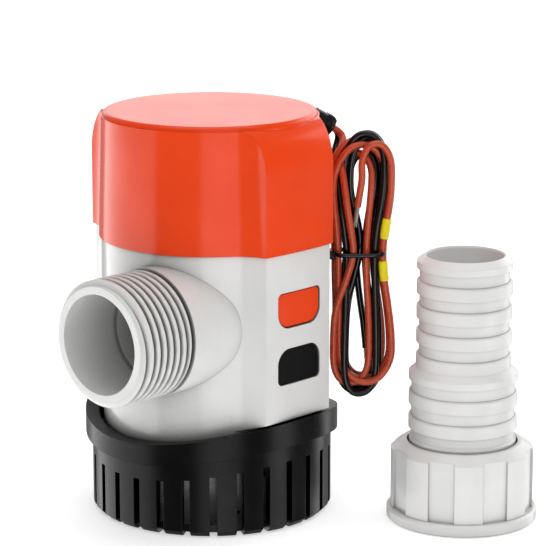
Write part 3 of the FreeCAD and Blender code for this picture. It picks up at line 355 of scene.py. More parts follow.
# The mould skins below are 0.05 mm or finer on the real parts; they are drawn about 0.6 mm wide so
# that they show as a faint liveliness in the reflections.
FINISHES: dict[str, MouldedPlastic | Elastomer | WorkedMetal] = {
    # High-gloss ABS: bright, a little light under the skin, soft-edged highlights, and painted
    # shade darkening its bores, thread grooves and seams.
    "white_abs": MouldedPlastic("abs_white_gloss_moulded", "EBEBE9", "E4E4E2", 0.2, 0.03,
                                0.8, 0.004, glow=0.08, painted_shade_colour="3B3F3A", painted_shade_mm=20.0,
                                painted_shade_share=0.92),
    # The same resin in signal orange: deep colour under a clean polished surface.
    "orange_abs": MouldedPlastic("abs_orange_gloss_moulded", "FA4500", "F44100", 0.2, 0.03,
                                 0.9, 0.004, shine=0.26),
    # Polypropylene from a lightly blasted mould: broad grey reflections on black.
    "black_pp": MouldedPlastic("polypropylene_black_satin_moulded", "030303", "060606", 0.3, 0.05,
                               0.6, 0.012, ior=1.49, edge_mm=0.22, shine=0.14),
    # Unpainted motor barrel: plain grey ABS, dull where the tool was not polished.
    "grey_abs": MouldedPlastic("abs_grey_satin_moulded", "8C8C8A", "7E7E7C", 0.42, 0.06,
                               0.7, 0.012),
    # Nylon: waxy white, wide soft highlights, more light under the skin than ABS, and painted shade
    # in its grooves and hollows.
    "white_nylon": MouldedPlastic("nylon_white_satin_moulded", "F1F1F0", "E6E6E5", 0.36, 0.05,
                                  0.7, 0.010, glow=0.12, edge_mm=0.35, painted_shade_colour="777874",
                                  painted_shade_mm=9.0, painted_shade_share=0.6),
    # Nitrile rubber rings: dull black with a faint bloom.
    "nitrile": Elastomer("nitrile_black_moulded", "0C0C0C", "1C1C1C", 0.62, 1.1, 0.02, sheen=0.15),
    # Wire insulation: glossy PVC with the extruder's slight waviness.
    "brown_pvc": Elastomer("pvc_brown_extruded", "C24420", "CC5430", 0.27, 2.2, 0.02),
    "black_pvc": Elastomer("pvc_black_extruded", "030303", "0A0A0A", 0.22, 2.2, 0.02,
                           shine=0.35),
    # Marker sleeves: soft yellow PVC, duller than the wire.
    "yellow_pvc": Elastomer("pvc_yellow_sleeve", "FBEA02", "F0D800", 0.42, 0.9, 0.03),
    # Strands dipped in tin: bright grey, greyer in random patches.
    "tinned_copper": WorkedMetal("copper_tinned_stranded", "C9C8C4", "9A958C", 0.3,
                                 Working.DRAWN, 0.5, 0.01),
    # Motor can: drawn steel under bright zinc.
    "plated_steel": WorkedMetal("steel_zinc_plated_drawn", "B8B9B6", "9C9C92", 0.32,
                                Working.DRAWN, 0.7, 0.008),
    # Shaft and screws: ground and turned stainless steel.
    "stainless_steel": WorkedMetal("steel_stainless_ground", "C4C3BF", "A9A8A4", 0.24,
                                   Working.TURNED, 0.6, 0.006),
    # Oil-filled sintered bushes: dull, full of pores.
    "sintered_bronze": WorkedMetal("bronze_sintered_porous", "A97A3C", "6E4C24", 0.5,
                                   Working.GRAINED, 0.35, 0.03),
    # Ferrite magnets: dark ceramic with a ground face, no metal shine.
    "ferrite": WorkedMetal("ferrite_pressed_ground", "2B2B2D", "3A3939", 0.55,
                           Working.GRAINED, 0.5, 0.02, metallic=0.0),
    # Pressed carbon brushes: soft black, slightly greasy.
    "carbon": WorkedMetal("carbon_pressed_brush", "1B1B1C", "2A2A2B", 0.48,
                          Working.GRAINED, 0.5, 0.02, metallic=0.0),
    # Varnished copper winding: red-brown metal under clear enamel.
    "enamelled_copper": WorkedMetal("copper_enamelled_wound", "B4592B", "8A3F1D", 0.28,
                                    Working.TURNED, 0.5, 0.04),
}


class Palette:
    """Builds each finish once and hands it out by the record's slot name."""

    def __init__(self) -> None:
        """Starts with no material built."""
        self._built: dict[str, bpy.types.Material] = {}

    def __getitem__(self, slot: str) -> bpy.types.Material:
        """The material of a slot, built when it is first asked for."""
        if slot not in self._built:
            self._built[slot] = FINISHES[slot].build()
        return self._built[slot]

    def dress_frame(self) -> None:
        """Gives every carried-over part the finish that the record names for it."""
        for part in frame["record"]["subparts"]:
            dress(frame["nodes"][part["node"]], self[part["material_slot"]])
        log.info("dressed %d carried-over parts", len(frame["record"]["subparts"]))

    def finish(self, piece: bpy.types.Object, slot: str, body: str = "pump",
               stands_for: tuple[str, ...] = ()) -> bpy.types.Object:
        """Dresses a new piece, lets it ride on its body and hides the parts it replaces.

        Args:
            piece: the new piece.
            slot: the record's material slot.
            body: the body it moves with.
            stands_for: the carried-over parts that it replaces.
        Returns:
            The piece.
        """
        dress(piece, self[slot])
        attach(piece, body)
        if stands_for:
            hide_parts(*stands_for)
        log.info("built %s", piece.name)
        return piece


# ------------------------------------------------------------------------------ leads and hank
HANG_ANGLE = math.radians(44.5)     # the hank hangs from the body's side in this direction
BODY_R = 29.3


def hung(places: np.ndarray | list) -> np.ndarray:
    """Metres in the object's frame, for millimetres measured at the hank.

    Args:
        places: rows of out, across and height: out from the round body, across to the far side,
            and above the floor.
    Returns:
        p = ((R + out) e + across n, height), with e towards the hank and n square to it.
    """
    out, across, height = np.asarray(places, dtype=float).T
    far = BODY_R + out
    return MM * np.stack([far * math.cos(HANG_ANGLE) - across * math.sin(HANG_ANGLE),
                          far * math.sin(HANG_ANGLE) + across * math.cos(HANG_ANGLE),
                          height], axis=-1)


def spline_weights(count: int, samples: int) -> np.ndarray:
    """Weights that turn control points into points of their clamped quadratic B-spline.

    N(i,0) is 1 between knots i and i+1; N(i,p) = (t - k(i)) / (k(i+p) - k(i)) N(i,p-1)
    + (k(i+p+1) - t) / (k(i+p+1) - k(i+1)) N(i+1,p-1).

    Args:
        count: how many control points there are.
        samples: how many points of the spline to give.
    Returns:
        A matrix of samples x count.
    """
    knots = np.concatenate([[0.0, 0.0], np.arange(count - 1), [count - 2.0, count - 2.0]])
    at = np.linspace(0.0, count - 2.0 - 1e-9, samples)[:, None]
    weight = ((at >= knots[:-1]) & (at < knots[1:])).astype(float)
    for degree in (1, 2):
        rise = knots[degree:-1] - knots[:-degree - 1]
        fall = knots[degree + 1:] - knots[1:-degree]
        up = np.where(rise > 0.0, (at - knots[:-degree - 1]) / np.where(rise > 0.0, rise, 1.0), 0.0)
        down = np.where(fall > 0.0,
                        (knots[degree + 1:] - at) / np.where(fall > 0.0, fall, 1.0), 0.0)
        weight = up * weight[:, :-1] + down * weight[:, 1:]
    return weight


@dataclass(frozen=True)
class Pass:
    """Where one strand of a turn goes through the tie, as a column and a layer of the bundle."""

    column: int
    layer: int


@dataclass
class Hank:
    """The bundle that both leads are wound into, open above and below its tie."""

    tie_height: float = 69.9
    columns: tuple[float, ...] = (4.95, 7.1, 9.9, 12.4, 14.3, 16.1)      # out, at the tie
    layers: tuple[float, ...] = (-3.8, -1.9, 0.0, 1.9)                   # across, near side first
    # Out in the upper and lower loops by column, tops over columns 4 to 6, bottoms under 1 to 3.
    upper: tuple[float, ...] = (4.4, 5.8, 6.9, 13.4, 16.3, 18.2)
    lower: tuple[float, ...] = (4.5, 6.6, 4.4, 13.9, 16.9, 18.9)
    head: tuple[float, ...] = (97.2, 99.2, 99.4)
    foot: tuple[float, ...] = (33.4, 34.4, 33.8)
    stray: float = 0.6        # how much the turns differ in size

    def lower_loop(self, down: Pass, up: Pass, drift: float) -> list[tuple[float, float, float]]:
        """Control points from the tie down one strand, round the bottom and up the other.

        Args:
            down: the strand that goes down.
            up: the strand that comes up.
            drift: how far this turn strays from its neighbours.
        Returns:
            Rows of out, across and height.
        """
        left, right = self.columns[down.column - 1], self.columns[up.column - 1]
        far_left = self.lower[down.column - 1] + 0.4 * drift
        far_right = self.lower[up.column - 1] - 0.6 * drift
        near, far = self.layers[down.layer - 1], self.layers[up.layer - 1]
        low = self.foot[down.column - 1] + drift
        step = (far - near) / 5.0
        width = far_right - far_left
        return [(left, near, self.tie_height), (0.6 * left + 0.4 * far_left, near, 62.5),
                (far_left + 0.3, near, 54.5), (far_left, near, 46.5),
                (far_left, near + step, low + 0.42 * width),
                (far_left + 0.28 * width, near + 2.0 * step, low),
                (far_right - 0.28 * width, far - 2.0 * step, low + 0.2),
                (far_right, far - step, low + 0.44 * width), (far_right, far, 47.0),
                (0.35 * right + 0.65 * far_right, far, 55.0),
                (0.85 * right + 0.15 * far_right, far, 63.0)]

    def upper_loop(self, up: Pass, down: Pass, drift: float) -> list[tuple[float, float, float]]:
        """Control points from the tie up one strand, over the top and down towards the tie.

        Args:
            up: the strand that goes up.
            down: the strand that comes down.
            drift: how far this turn strays from its neighbours.
        Returns:
            Rows of out, across and height.
        """
        right, left = self.columns[up.column - 1], self.columns[down.column - 1]
        far_right = self.upper[up.column - 1] - 0.5 * drift
        far_left = self.upper[down.column - 1] + 0.5 * drift
        near, far = self.layers[up.layer - 1], self.layers[down.layer - 1]
        high = self.head[up.column - 4] - drift
        step = (far - near) / 5.0
        width = far_right - far_left
        return [(right, near, self.tie_height), (0.8 * right + 0.2 * far_right, near, 76.5),
                (0.3 * right + 0.7 * far_right, near, 83.0), (far_right, near, 88.5),
                (far_right, near + step, high - 0.42 * width),
                (far_right - 0.28 * width, near + 2.0 * step, high),
                (far_left + 0.32 * width, far - 2.0 * step, high - 0.3),
                (far_left + 0.04 * width, far - step, high - 0.46 * width), (far_left, far, 87.0),
                (0.5 * left + 0.5 * far_left, far, 81.0), (0.9 * left + 0.1 * far_left, far, 75.5)]

    def wound(self, passes: list[Pass], phase: float) -> list[tuple[float, float, float]]:
        """Control points of all turns of one lead.

        Args:
            passes: its strands at the tie in order, down, up, down and so on.
            phase: sets how its turns stray, so that the two leads differ.
        Returns:
            Rows of out, across and height, ending on the way to the pass after the last.
        """
        points: list[tuple[float, float, float]] = []
        for turn, (one, other) in enumerate(zip(passes[:-1], passes[1:])):
            drift = self.stray * math.sin(2.4 * turn + phase)
            loop = self.upper_loop if turn % 2 else self.lower_loop
            points += loop(one, other, drift)
        return points


@dataclass
class Leads:
    """The two supply leads: out of the gland, down the side, and wound in the hank."""

    palette: Palette
    brown_hank: Hank = field(default_factory=Hank)
    black_hank: Hank = field(default_factory=lambda: Hank(
        upper=(4.6, 6.2, 6.2, 14.7, 16.2, 17.4), lower=(5.4, 6.0, 6.2, 14.4, 15.4, 17.6),
        head=(98.6, 101.3, 100.6), foot=(30.9, 31.2, 33.4), stray=0.9))
    diameter: float = 1.9
    clear_radius: float = 31.3        # the strands keep this far from the pump's axis
    lengths: tuple[float, float] = (0.76, 0.76)
    # Out, across and height of each lead from the gland to the tie.
    brown_drop: tuple[tuple[float, float, float], ...] = (
        (3.61, 6.12, 102.3), (5.47, 6.53, 101.2), (6.5, 5.3, 99.4), (6.2, 2.2, 97.5),
        (6.2, -1.4, 95.3), (6.7, -4.7, 91.8), (7.2, -5.9, 87.5), (7.9, -5.9, 82.0),
        (8.9, -5.2, 76.2))
    black_drop: tuple[tuple[float, float, float], ...] = (
        (3.11, 8.36, 102.3), (4.97, 8.77, 101.2), (5.2, 7.9, 98.9), (4.4, 5.6, 96.6),
        (4.4, 2.4, 94.3), (4.9, -0.9, 91.2), (5.4, -3.2, 86.5), (5.9, -4.1, 81.0),
        (6.6, -4.1, 75.6))
    brown_end: tuple[tuple[float, float, float], ...] = (
        (16.1, -3.8, 69.9), (16.7, -3.8, 76.5), (17.9, -3.9, 83.0), (18.3, -4.0, 89.5),
        (18.1, -4.2, 95.6), (15.9, -4.6, 99.8), (12.3, -5.0, 99.9), (10.3, -5.4, 95.6),
        (10.8, -5.6, 90.8), (10.3, -5.6, 87.0), (9.7, -5.55, 83.0))
    black_end: tuple[tuple[float, float, float], ...] = (
        (9.9, 1.9, 69.9), (10.3, 2.0, 62.0), (11.2, 2.7, 54.5), (12.2, 3.3, 48.0),
        (12.7, 3.55, 42.0))

    def routes(self) -> list[np.ndarray]:
        """Control points of both leads in millimetres at the hank, before they settle."""
        brown = [Pass(3, 1), Pass(4, 1), Pass(1, 4), Pass(6, 4), Pass(2, 4), Pass(5, 4),
                 Pass(1, 2), Pass(6, 2), Pass(1, 1), Pass(6, 1)]
        black = [Pass(2, 1), Pass(5, 1), Pass(2, 2), Pass(5, 2), Pass(3, 2), Pass(4, 2),
                 Pass(2, 3), Pass(5, 3), Pass(3, 3), Pass(4, 3), Pass(3, 4)]
        return [np.array([*self.brown_drop, *self.brown_hank.wound(brown, 0.4), *self.brown_end]),
                np.array([*self.black_drop, *self.black_hank.wound(black, 2.1), *self.black_end])]

    def settled(self, routes: list[np.ndarray], rounds: int = 90) -> list[np.ndarray]:
        """Pushes strands that overlap apart, as real ones lie beside and over each other.

        Each sample closer than a diameter to another is moved half the overlap away from it; the
        moves go back to the control points through the spline's weights and are evened along the
        lead. Both ends of each lead and the body of the pump do not give way.

        Args:
            routes: control points of each lead, out, across and height.
            rounds: how many times the overlaps are looked for.
        Returns:
            The control points after settling, in metres.
        """
        start = np.vstack([hung(route) for route in routes]) / MM
        counts = [len(route) for route in routes]
        per_point = 5
        weights = np.zeros((sum(counts) * per_point, sum(counts)))
        row = 0
        for index, count in enumerate(counts):
            first = sum(counts[:index])
            weights[row:row + count * per_point, first:first + count] = \
                spline_weights(count, count * per_point)
            row += count * per_point
        lead = np.repeat(np.arange(len(counts)), np.array(counts) * per_point)
        order = np.arange(len(lead))
        apart = (lead[:, None] != lead[None, :]) | (np.abs(order[:, None] - order[None, :]) > 14)
        free = np.ones(sum(counts))
        for index, count in enumerate(counts):
            first = sum(counts[:index])
            free[first:first + 3] = 0.0
            free[first + count - 2:first + count] = 0.0
        share = np.maximum(weights.sum(axis=0), 1e-6)[:, None]
        shift = np.zeros_like(start)
        for _ in range(rounds):
            line = weights @ (start + shift)
            gap = line[:, None, :] - line[None, :, :]
            distance = np.sqrt((gap ** 2).sum(axis=-1)) + 1e-6
            overlap = np.where(apart, np.maximum(self.diameter * 1.02 - distance, 0.0), 0.0)
            push = 0.45 * ((overlap / distance)[:, :, None] * gap).sum(axis=1)
            radius = np.hypot(line[:, 0], line[:, 1])
            inward = np.maximum(self.clear_radius - radius, 0.0) / radius
            push[:, :2] += inward[:, None] * line[:, :2]
            shift += free[:, None] * (weights.T @ push) / share
            even = shift.copy()
            even[1:-1] = 0.25 * shift[:-2] + 0.5 * shift[1:-1] + 0.25 * shift[2:]
            shift = free[:, None] * (0.35 * shift + 0.65 * even)
        log.info("settled %d strand samples, worst overlap %.2f mm", len(line), overlap.max())
        placed = MM * (start + shift)
        return [placed[sum(counts[:i]):sum(counts[:i + 1])] for i in range(len(counts))]

    def cord_piece(self, name: str, points: np.ndarray) -> bpy.types.Object:
        """One lead as a round curve on a single smooth spline.

        Args:
            name: the piece's name.
            points: the spline's control points in metres.
        Returns:
            The curve, linked to the scene.
        """
        curve = bpy.data.curves.new(name, "CURVE")
        curve.dimensions = "3D"
        curve.bevel_depth = 0.5 * self.diameter * MM
        curve.bevel_resolution = 3
        curve.resolution_u = 5
        curve.render_resolution_u = 5
        curve.use_fill_caps = True
        spline = curve.splines.new("NURBS")
        spline.points.add(len(points) - 1)
        spline.points.foreach_set("co", np.column_stack([points, np.ones(len(points))]).ravel())
        spline.order_u = 3
        spline.use_endpoint_u = True
        spline.use_smooth = True
        piece = bpy.data.objects.new(name, curve)
        bpy.context.scene.collection.objects.link(piece)
        return piece

    def build(self) -> tuple[bpy.types.Object, bpy.types.Object]:
        """Builds both leads, which stand for the plain leads and the plain hank."""
        brown_points, black_points = self.settled(self.routes())
        brown = self.cord_piece("lead_brown_wire", brown_points)
        black = self.cord_piece("lead_black_wire", black_points)
        self.palette.finish(brown, "brown_pvc", stands_for=("lead_brown", "lead_hank"))
        self.palette.finish(black, "black_pvc", stands_for=("lead_black",))
        return brown, black

    def declare(self, leads: tuple[bpy.types.Object, bpy.types.Object],
                on_brown: list[bpy.types.Object], on_black: list[bpy.types.Object]) -> None:
        """Works out where each lead leaves the gland and how thick it is, and keeps neither; the
        lengths and what is on each lead are not used.
        """
        for lead, drop, length, on_it in zip(leads, (self.brown_drop, self.black_drop),
                                             self.lengths, (on_brown, on_black)):
            tuple(hung([drop[0]])[0])
            self.diameter * MM


def line_of(cord: bpy.types.Object) -> np.ndarray:
    """Points along a cord's own spline in metres, read from a copy that has no thickness."""
    bare = cord.data.copy()
    bare.bevel_depth = 0.0
    holder = bpy.data.objects.new("bare_line", bare)
    mesh = bpy.data.meshes.new_from_object(holder)
    points = np.empty(3 * len(mesh.vertices))
    mesh.vertices.foreach_get("co", points)
    bpy.data.objects.remove(holder)
    bpy.data.curves.remove(bare)
    bpy.data.meshes.remove(mesh)
    return points.reshape(-1, 3)


@dataclass
class MarkerSleeves:
    """Two soft yellow sleeves on the outer strand, one each side of the tie."""

    palette: Palette
    wire_radius: float = 0.95
    wall: float = 0.26
    spans: tuple[tuple[str, float, float], ...] = (
        ("marker_sleeve_upper", 74.1, 79.7), ("marker_sleeve_lower", 62.6, 68.2))

    def build(self, cord: bpy.types.Object) -> list[bpy.types.Object]:
        """Follows the strand furthest out: r(s) = wire + wall (1 + pinches) up to rolled ends."""
        line = line_of(cord)
        out = line[:, 0] * math.cos(HANG_ANGLE) + line[:, 1] * math.sin(HANG_ANGLE)
        last_turn = np.arange(len(line)) > 0.86 * len(line)
        pieces = []
        for node, low, high in self.spans:
            outer = (out > (BODY_R + 14.8) * MM) & last_turn
            near = (line[:, 2] > (low - 6.0) * MM) & (line[:, 2] < (high + 6.0) * MM)
            strand = line[outer & near]
            strand = strand[np.argsort(strand[:, 2])]
            height = np.linspace(low, high, 33) * MM
            path = np.column_stack([np.interp(height, strand[:, 2], strand[:, 0]),
                                    np.interp(height, strand[:, 2], strand[:, 1]), height])
            share = np.linspace(0.0, 1.0, len(path))
            rolled = np.sqrt(np.clip(1.0 - np.abs(2.0 * share - 1.0) ** 18, 0.0, 1.0))
            pinched = 0.035 * np.cos(10.0 * np.pi * share)
            radius = self.wire_radius * 0.9 + (self.wall + 0.1 + pinched) * rolled
            piece = mesh_piece(node + "_on_wire", [tube(path, radius * MM, (1.0, 0.0, 0.0), 20)],
                               capped=True)
            pieces.append(self.palette.finish(piece, "yellow_pvc", stands_for=(node,)))
        return pieces


@dataclass
class StrippedEnd:
    """A stripped conductor: a bundle of tinned strands laid round one in the middle."""

    palette: Palette
    node: str
    length: float
    strand_r: float = 0.23
    lay: float = 9.0          # length of one full turn of the outer strands

    def build(self, cord: bpy.types.Object) -> bpy.types.Object:
        """Strand k: p(s) = end + s t + R (cos(2 pi s / lay + k pi / 3) e1 + sin(...) e2)."""
        line = line_of(cord)
        end, heading = line[-1], unit(line[-1] - line[-3])
        first = unit(np.cross(heading, (1.0, 0.0, 0.0)))
        second = np.cross(heading, first)
        along = np.linspace(-0.8, self.length, 30)
        grids = []
        for number in range(7):
            ring_r = 0.0 if number == 0 else 2.0 * self.strand_r
            splay = 1.0 + 0.25 * smooth_step(0.7 * self.length, self.length, along)
            angle = 2.0 * np.pi * along / self.lay + number * np.pi / 3.0
            stop = self.length - 0.35 * (number % 3)
            reach = np.minimum(along, stop)[:, None]
            path = end + MM * (reach * heading + ring_r * splay[:, None]
                               * (np.cos(angle)[:, None] * first + np.sin(angle)[:, None] * second))
            keep = along <= stop
            grids.append(tube(path[keep], self.strand_r * MM, tuple(first), 8))
        piece = mesh_piece(self.node + "_strands", grids, capped=True)
        return self.palette.finish(piece, "tinned_copper", stands_for=(self.node,))


@dataclass
class TwistTie:
    """The coated wire tie round the hank, with its twisted tails at the near left corner."""

    palette: Palette
    left: float = 3.2
    right: float = 17.1
    near: float = -7.2
    far: float = 3.3
    height: float = 69.9
    radius: float = 0.62
    tail: float = 4.2
    twist: float = 2.6        # length of one full turn of the tails

    def loop(self) -> np.ndarray:
        """A rounded box: out, across = centre + half (sgn cos |cos|^0.45, sgn sin |sin|^0.45)."""
        angle = np.linspace(0.0, 2.0 * np.pi, 120, endpoint=False)
        corner = [np.sign(w) * np.abs(w) ** 0.45 for w in (np.cos(angle), np.sin(angle))]
        out = 0.5 * (self.left + self.right) + 0.5 * (self.right - self.left) * corner[0]
        across = 0.5 * (self.near + self.far) + 0.5 * (self.far - self.near) * corner[1]
        sag = self.height - 0.35 * np.sin(angle) + 0.2 * np.cos(2.0 * angle)
        return hung(np.column_stack([out, across, sag]))

    def tails(self) -> list[np.ndarray]:
        """Two strands wound round each other: p(s) = foot + s t + r (cos w e1 + sin w e2)."""
        along = np.linspace(0.0, self.tail, 44)
        grids = []
        for side in (0.0, math.pi):
            angle = 2.0 * np.pi * along / self.twist + side
            swing = self.radius * 0.92
            out = self.left + 0.4 - 0.5 * along + swing * np.cos(angle) * 0.4
            across = self.near + 0.2 - 0.25 * along + swing * np.cos(angle) * 0.9
            rise = self.height + 0.25 * along * np.cos(0.6) + swing * np.sin(angle)
            tip = np.sqrt(np.clip(1.0 - (along / self.tail) ** 14, 0.02, 1.0))
            grids.append(tube(hung(np.column_stack([out, across, rise])), self.radius * MM * tip,
                              (0.0, 0.0, 1.0), 10))
        return grids

    def build(self) -> bpy.types.Object:
        """The loop and its tails, which stand for the plain tie."""
        ring = mesh_piece("hank_tie_loop", [tube(self.loop(), self.radius * MM, (0.0, 0.0, 1.0), 14,
                                                 closed=True)], wrap_rows=True)
        tails = mesh_piece("hank_tie_tails", self.tails(), capped=True)
        self.palette.finish(tails, "black_pvc")
        return self.palette.finish(ring, "black_pvc", stands_for=("hank_tie",))


# ------------------------------------------------------------------------------ pipe threads
PIPE_PITCH = 2.31       # 1 inch parallel pipe thread, 11 turns to the inch


class Facing(Enum):
    """Which way a thread's ridge stands from the wall that carries it."""

    OUTWARD = 1.0
    INWARD = -1.0


@dataclass
class PipeThread:
    """A parallel pipe thread as one continuous ridged sleeve, sunk a little in its wall."""

    palette: Palette
    name: str
    slot: str
    body: str
    base: tuple[float, float, float]       # centre of the open end
    axis: tuple[float, float, float]       # from the open end inwards
    wall_r: float
    depth: float
    facing: Facing
    pitch: float
    start: float
    length: float
    turns_round: int = 168          # columns round the thread
    row: float = 0.105              # spacing of the rows along it
    sunk: float = 0.12              # how far the root lies under the wall's surface
    wall: float = 0.5               # how far the inner return lies under it

    def build(self) -> bpy.types.Object:
        """The ridge as a height over a cylinder.

        r(t, a) = wall + facing depth ridge(t / pitch - a / 2 pi) fade(t), where the ridge is a
        flat crest with rounded flanks, and the fade lets it run in and out over most of a pitch.

        Returns:
            The sleeve, closed by an inner return under the wall's surface.
        """
        along = np.linspace(self.start, self.start + self.length, int(self.length / self.row))
        angle = np.linspace(0.0, 2.0 * np.pi, self.turns_round, endpoint=False)
        phase = np.mod(along[:, None] / self.pitch - angle[None, :] / (2.0 * np.pi), 1.0)
        groove = np.abs(2.0 * phase - 1.0)
        ridge = 1.0 - smooth_step(0.34, 0.97, groove)
        fade = smooth_step(0.0, 1.0, along - self.start) \
            * smooth_step(0.0, 1.3, self.start + self.length - along)
        sign = self.facing.value
        root = self.wall_r - sign * self.sunk
        rise = np.clip(ridge * fade[:, None] + 0.06, 0.0, 1.0)
        radius = root + sign * (self.depth + self.sunk) * rise
        radius[[0, -1]] = root
        inner = np.full((2, self.turns_round), self.wall_r - sign * self.wall)
        reach = np.concatenate([along, along[[-1, 0]]])
        radius = np.vstack([radius, inner])
        axis = np.array(self.axis)
        first = unit(np.cross(axis, (1.0, 0.0, 0.0)))
        second = np.cross(axis, first)
        ring = np.cos(angle)[:, None] * first + np.sin(angle)[:, None] * second
        grid = np.array(self.base) + reach[:, None, None] * axis + radius[:, :, None] * ring[None]
        piece = mesh_piece(self.name, [MM * grid], wrap_rows=True)
        return self.palette.finish(piece, self.slot, self.body)


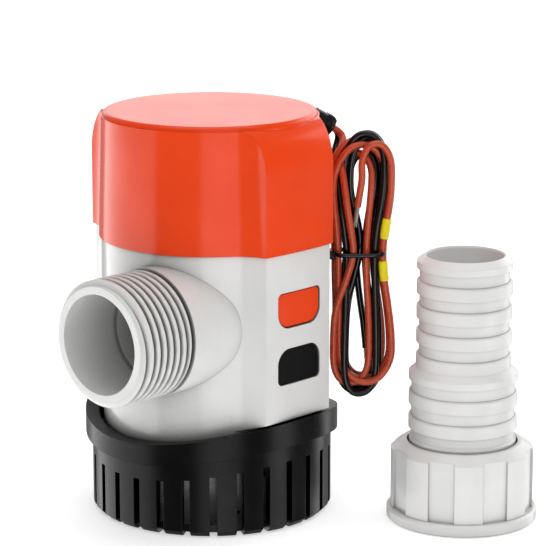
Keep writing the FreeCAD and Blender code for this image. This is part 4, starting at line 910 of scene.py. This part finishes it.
# ------------------------------------------------------------------------------ studio
@dataclass
class Studio:
    """A pale floor, panels of soft light, and the camera."""

    azimuth: float = 44.5
    distance: float = 700.0
    height: float = 228.0
    pitch: float = 13.2
    yaw: float = 1.364
    lens: float = 176.2
    sky: float = 0.38
    floor_reach: float = 6.0          # metres from the middle to each edge
    floor_drop: float = 0.0002        # under the strainer's foot, so that the two don't flicker
    overhead_size: float = 1.1
    overhead_height: float = 1.25
    overhead_radiance: float = 1.7
    # Name, bearing, distance, centre, width, tall and radiance, as panel() takes them.
    strips: tuple[tuple[str, float, float, float, float, float, float], ...] = (
        ("strip_left", -100.0, 0.7, -0.33, 1.25, 0.7, 3.0),
        ("strip_front", 7.0, 1.0, -0.33, 0.6, 0.7, 3.2),
        ("strip_right", 66.0, 0.7, -0.33, 0.25, 0.7, 3.4),
        ("strip_far_right", 122.0, 0.7, -0.33, 0.25, 0.7, 2.4),
        ("strip_back", 180.0, 1.2, 0.42, 1.3, 0.6, 1.0))
    lamps: tuple[tuple[str, float, float, float, float, float, float], ...] = (
        ("key", 14.0, 1.1, 0.62, 0.9, 0.7, 0.75),
        ("fill_right", 130.0, 0.9, 0.4, 0.8, 0.6, 1.8))

    def build_camera(self) -> None:
        """Right, up and backward columns, from the azimuth, the yaw and the pitch."""
        turn, yaw, pitch = (math.radians(a) for a in (self.azimuth, self.yaw, self.pitch))
        outward = Vector((math.sin(turn), -math.cos(turn), 0.0))
        across = Vector((math.cos(turn), math.sin(turn), 0.0))
        level = -outward * math.cos(yaw) + across * math.sin(yaw)
        right = across * math.cos(yaw) + outward * math.sin(yaw)
        ahead = level * math.cos(pitch) - Vector((0.0, 0.0, math.sin(pitch)))
        up = right.cross(ahead)
        data = bpy.data.cameras.new("camera")
        data.lens = self.lens
        data.sensor_width = 36.0
        data.clip_start = 0.01
        camera = bpy.data.objects.new("camera", data)
        place = outward * self.distance * MM
        place.z = self.height * MM
        camera.matrix_world = Matrix.Translation(place) @ Matrix(
            (right, up, -ahead)).transposed().to_4x4()
        bpy.context.scene.collection.objects.link(camera)
        bpy.context.scene.camera = camera

    def panel(self, name: str, bearing: float, distance: float, centre: float, width: float,
              tall: float, radiance: float, only_shine: bool = False) -> None:
        """One upright panel of light that faces the pump.

        Args:
            name: the light's name.
            bearing: degrees to the right of the camera, seen from the pump.
            distance: metres from the pump's axis.
            centre: height of its middle in metres.
            width: metres.
            tall: metres.
            radiance: brightness of its face, where a sheet of white in full light is 1.
            only_shine: it shows in glossy surfaces and does not light matt ones.
        """
        data = bpy.data.lights.new(name, "AREA")
        data.shape = "RECTANGLE"
        data.size = width
        data.size_y = tall
        data.energy = radiance * math.pi * width * tall
        light = bpy.data.objects.new(name, data)
        turn = math.radians(self.azimuth + bearing)
        place = Vector((math.sin(turn) * distance, -math.cos(turn) * distance, centre))
        aim = Vector((0.0, 0.0, min(centre, 0.06))) - place
        facing = aim.to_track_quat("-Z", "Y").to_matrix().to_4x4()
        light.matrix_world = Matrix.Translation(place) @ facing
        light.visible_camera = False
        light.visible_diffuse = not only_shine
        bpy.context.scene.collection.objects.link(light)

    def build(self) -> None:
        """Sky, floor, panels and camera."""
        scene = bpy.context.scene
        world = bpy.data.worlds.new("studio_air")
        world.use_nodes = True
        world.node_tree.nodes["Background"].inputs["Color"].default_value = linear("FFFFFF")
        world.node_tree.nodes["Background"].inputs["Strength"].default_value = self.sky
        scene.world = world
        scene.view_settings.view_transform = "Standard"
        mesh = bpy.data.meshes.new("floor")
        corners = ((-1.0, -1.0), (1.0, -1.0), (1.0, 1.0), (-1.0, 1.0))
        mesh.from_pydata([(x * self.floor_reach, y * self.floor_reach, -self.floor_drop)
                          for x, y in corners], [], [(0, 1, 2, 3)])
        floor = bpy.data.objects.new("floor", mesh)
        scene.collection.objects.link(floor)
        material, tree, shader = bare_material("paper_sweep_white")
        fibre = add_node(tree, "ShaderNodeTexNoise", {"Scale": 400.0, "Detail": 2.0},
                         {"Vector": add_node(tree, "ShaderNodeTexCoord").outputs["Object"]})
        tone = add_node(tree, "ShaderNodeMix", {"data_type": "RGBA", 6: linear("FAFAFA"),
                                                7: linear("F6F6F6")}, {0: fibre.outputs["Fac"]})
        tree.links.new(tone.outputs[2], shader.inputs["Base Color"])
        shader.inputs["Roughness"].default_value = 0.9
        shader.inputs["Emission Color"].default_value = linear("FFFFFF")
        shader.inputs["Emission Strength"].default_value = 0.5
        dress(floor, material)
        floor.visible_glossy = False
        for strip in self.strips:
            self.panel(*strip, only_shine=True)
        for lamp in self.lamps:
            self.panel(*lamp)
        overhead = bpy.data.lights.new("panel_overhead", "AREA")
        overhead.size = self.overhead_size
        overhead.energy = self.overhead_radiance * math.pi * self.overhead_size ** 2
        light = bpy.data.objects.new("panel_overhead", overhead)
        light.location = (0.0, 0.0, self.overhead_height)
        light.visible_camera = False
        scene.collection.objects.link(light)
        self.build_camera()
        log.info("studio ready")


# ------------------------------------------------------------------------------ putting it together
def main() -> None:
    """Builds the studio, the leads and the threads, and dresses every part."""
    logging.basicConfig(level=logging.INFO, format="%(name)s: %(message)s")
    palette = Palette()
    Studio().build()
    wiring = Leads(palette)
    leads = wiring.build()
    palette.dress_frame()
    sleeves = MarkerSleeves(palette).build(leads[0])
    brown_end = StrippedEnd(palette, "wire_end_brown", 5.6).build(leads[0])
    black_end = StrippedEnd(palette, "wire_end_black", 6.0).build(leads[1])
    tie = TwistTie(palette).build()
    wiring.declare(leads, [*sleeves, brown_end, tie], [black_end])
    PipeThread(palette, "outlet_thread", "white_abs", "pump", base=(9.0, -50.0, 55.0),
               axis=(0.0, 1.0, 0.0), wall_r=15.15, depth=1.48, facing=Facing.OUTWARD,
               pitch=PIPE_PITCH, start=0.6, length=17.3).build()
    nut_low, nut_high = (np.array(corner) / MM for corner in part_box("union_nut"))
    nut_middle = 0.5 * (nut_low + nut_high)
    PipeThread(palette, "nut_thread", "white_nylon", "union_nut",
               base=(float(nut_middle[0]), float(nut_middle[1]), float(nut_low[2])),
               axis=(0.0, 0.0, 1.0), wall_r=16.85, depth=0.9, facing=Facing.INWARD,
               pitch=PIPE_PITCH, start=0.8, length=11.2).build()


if __name__ == "__main__":
    main()
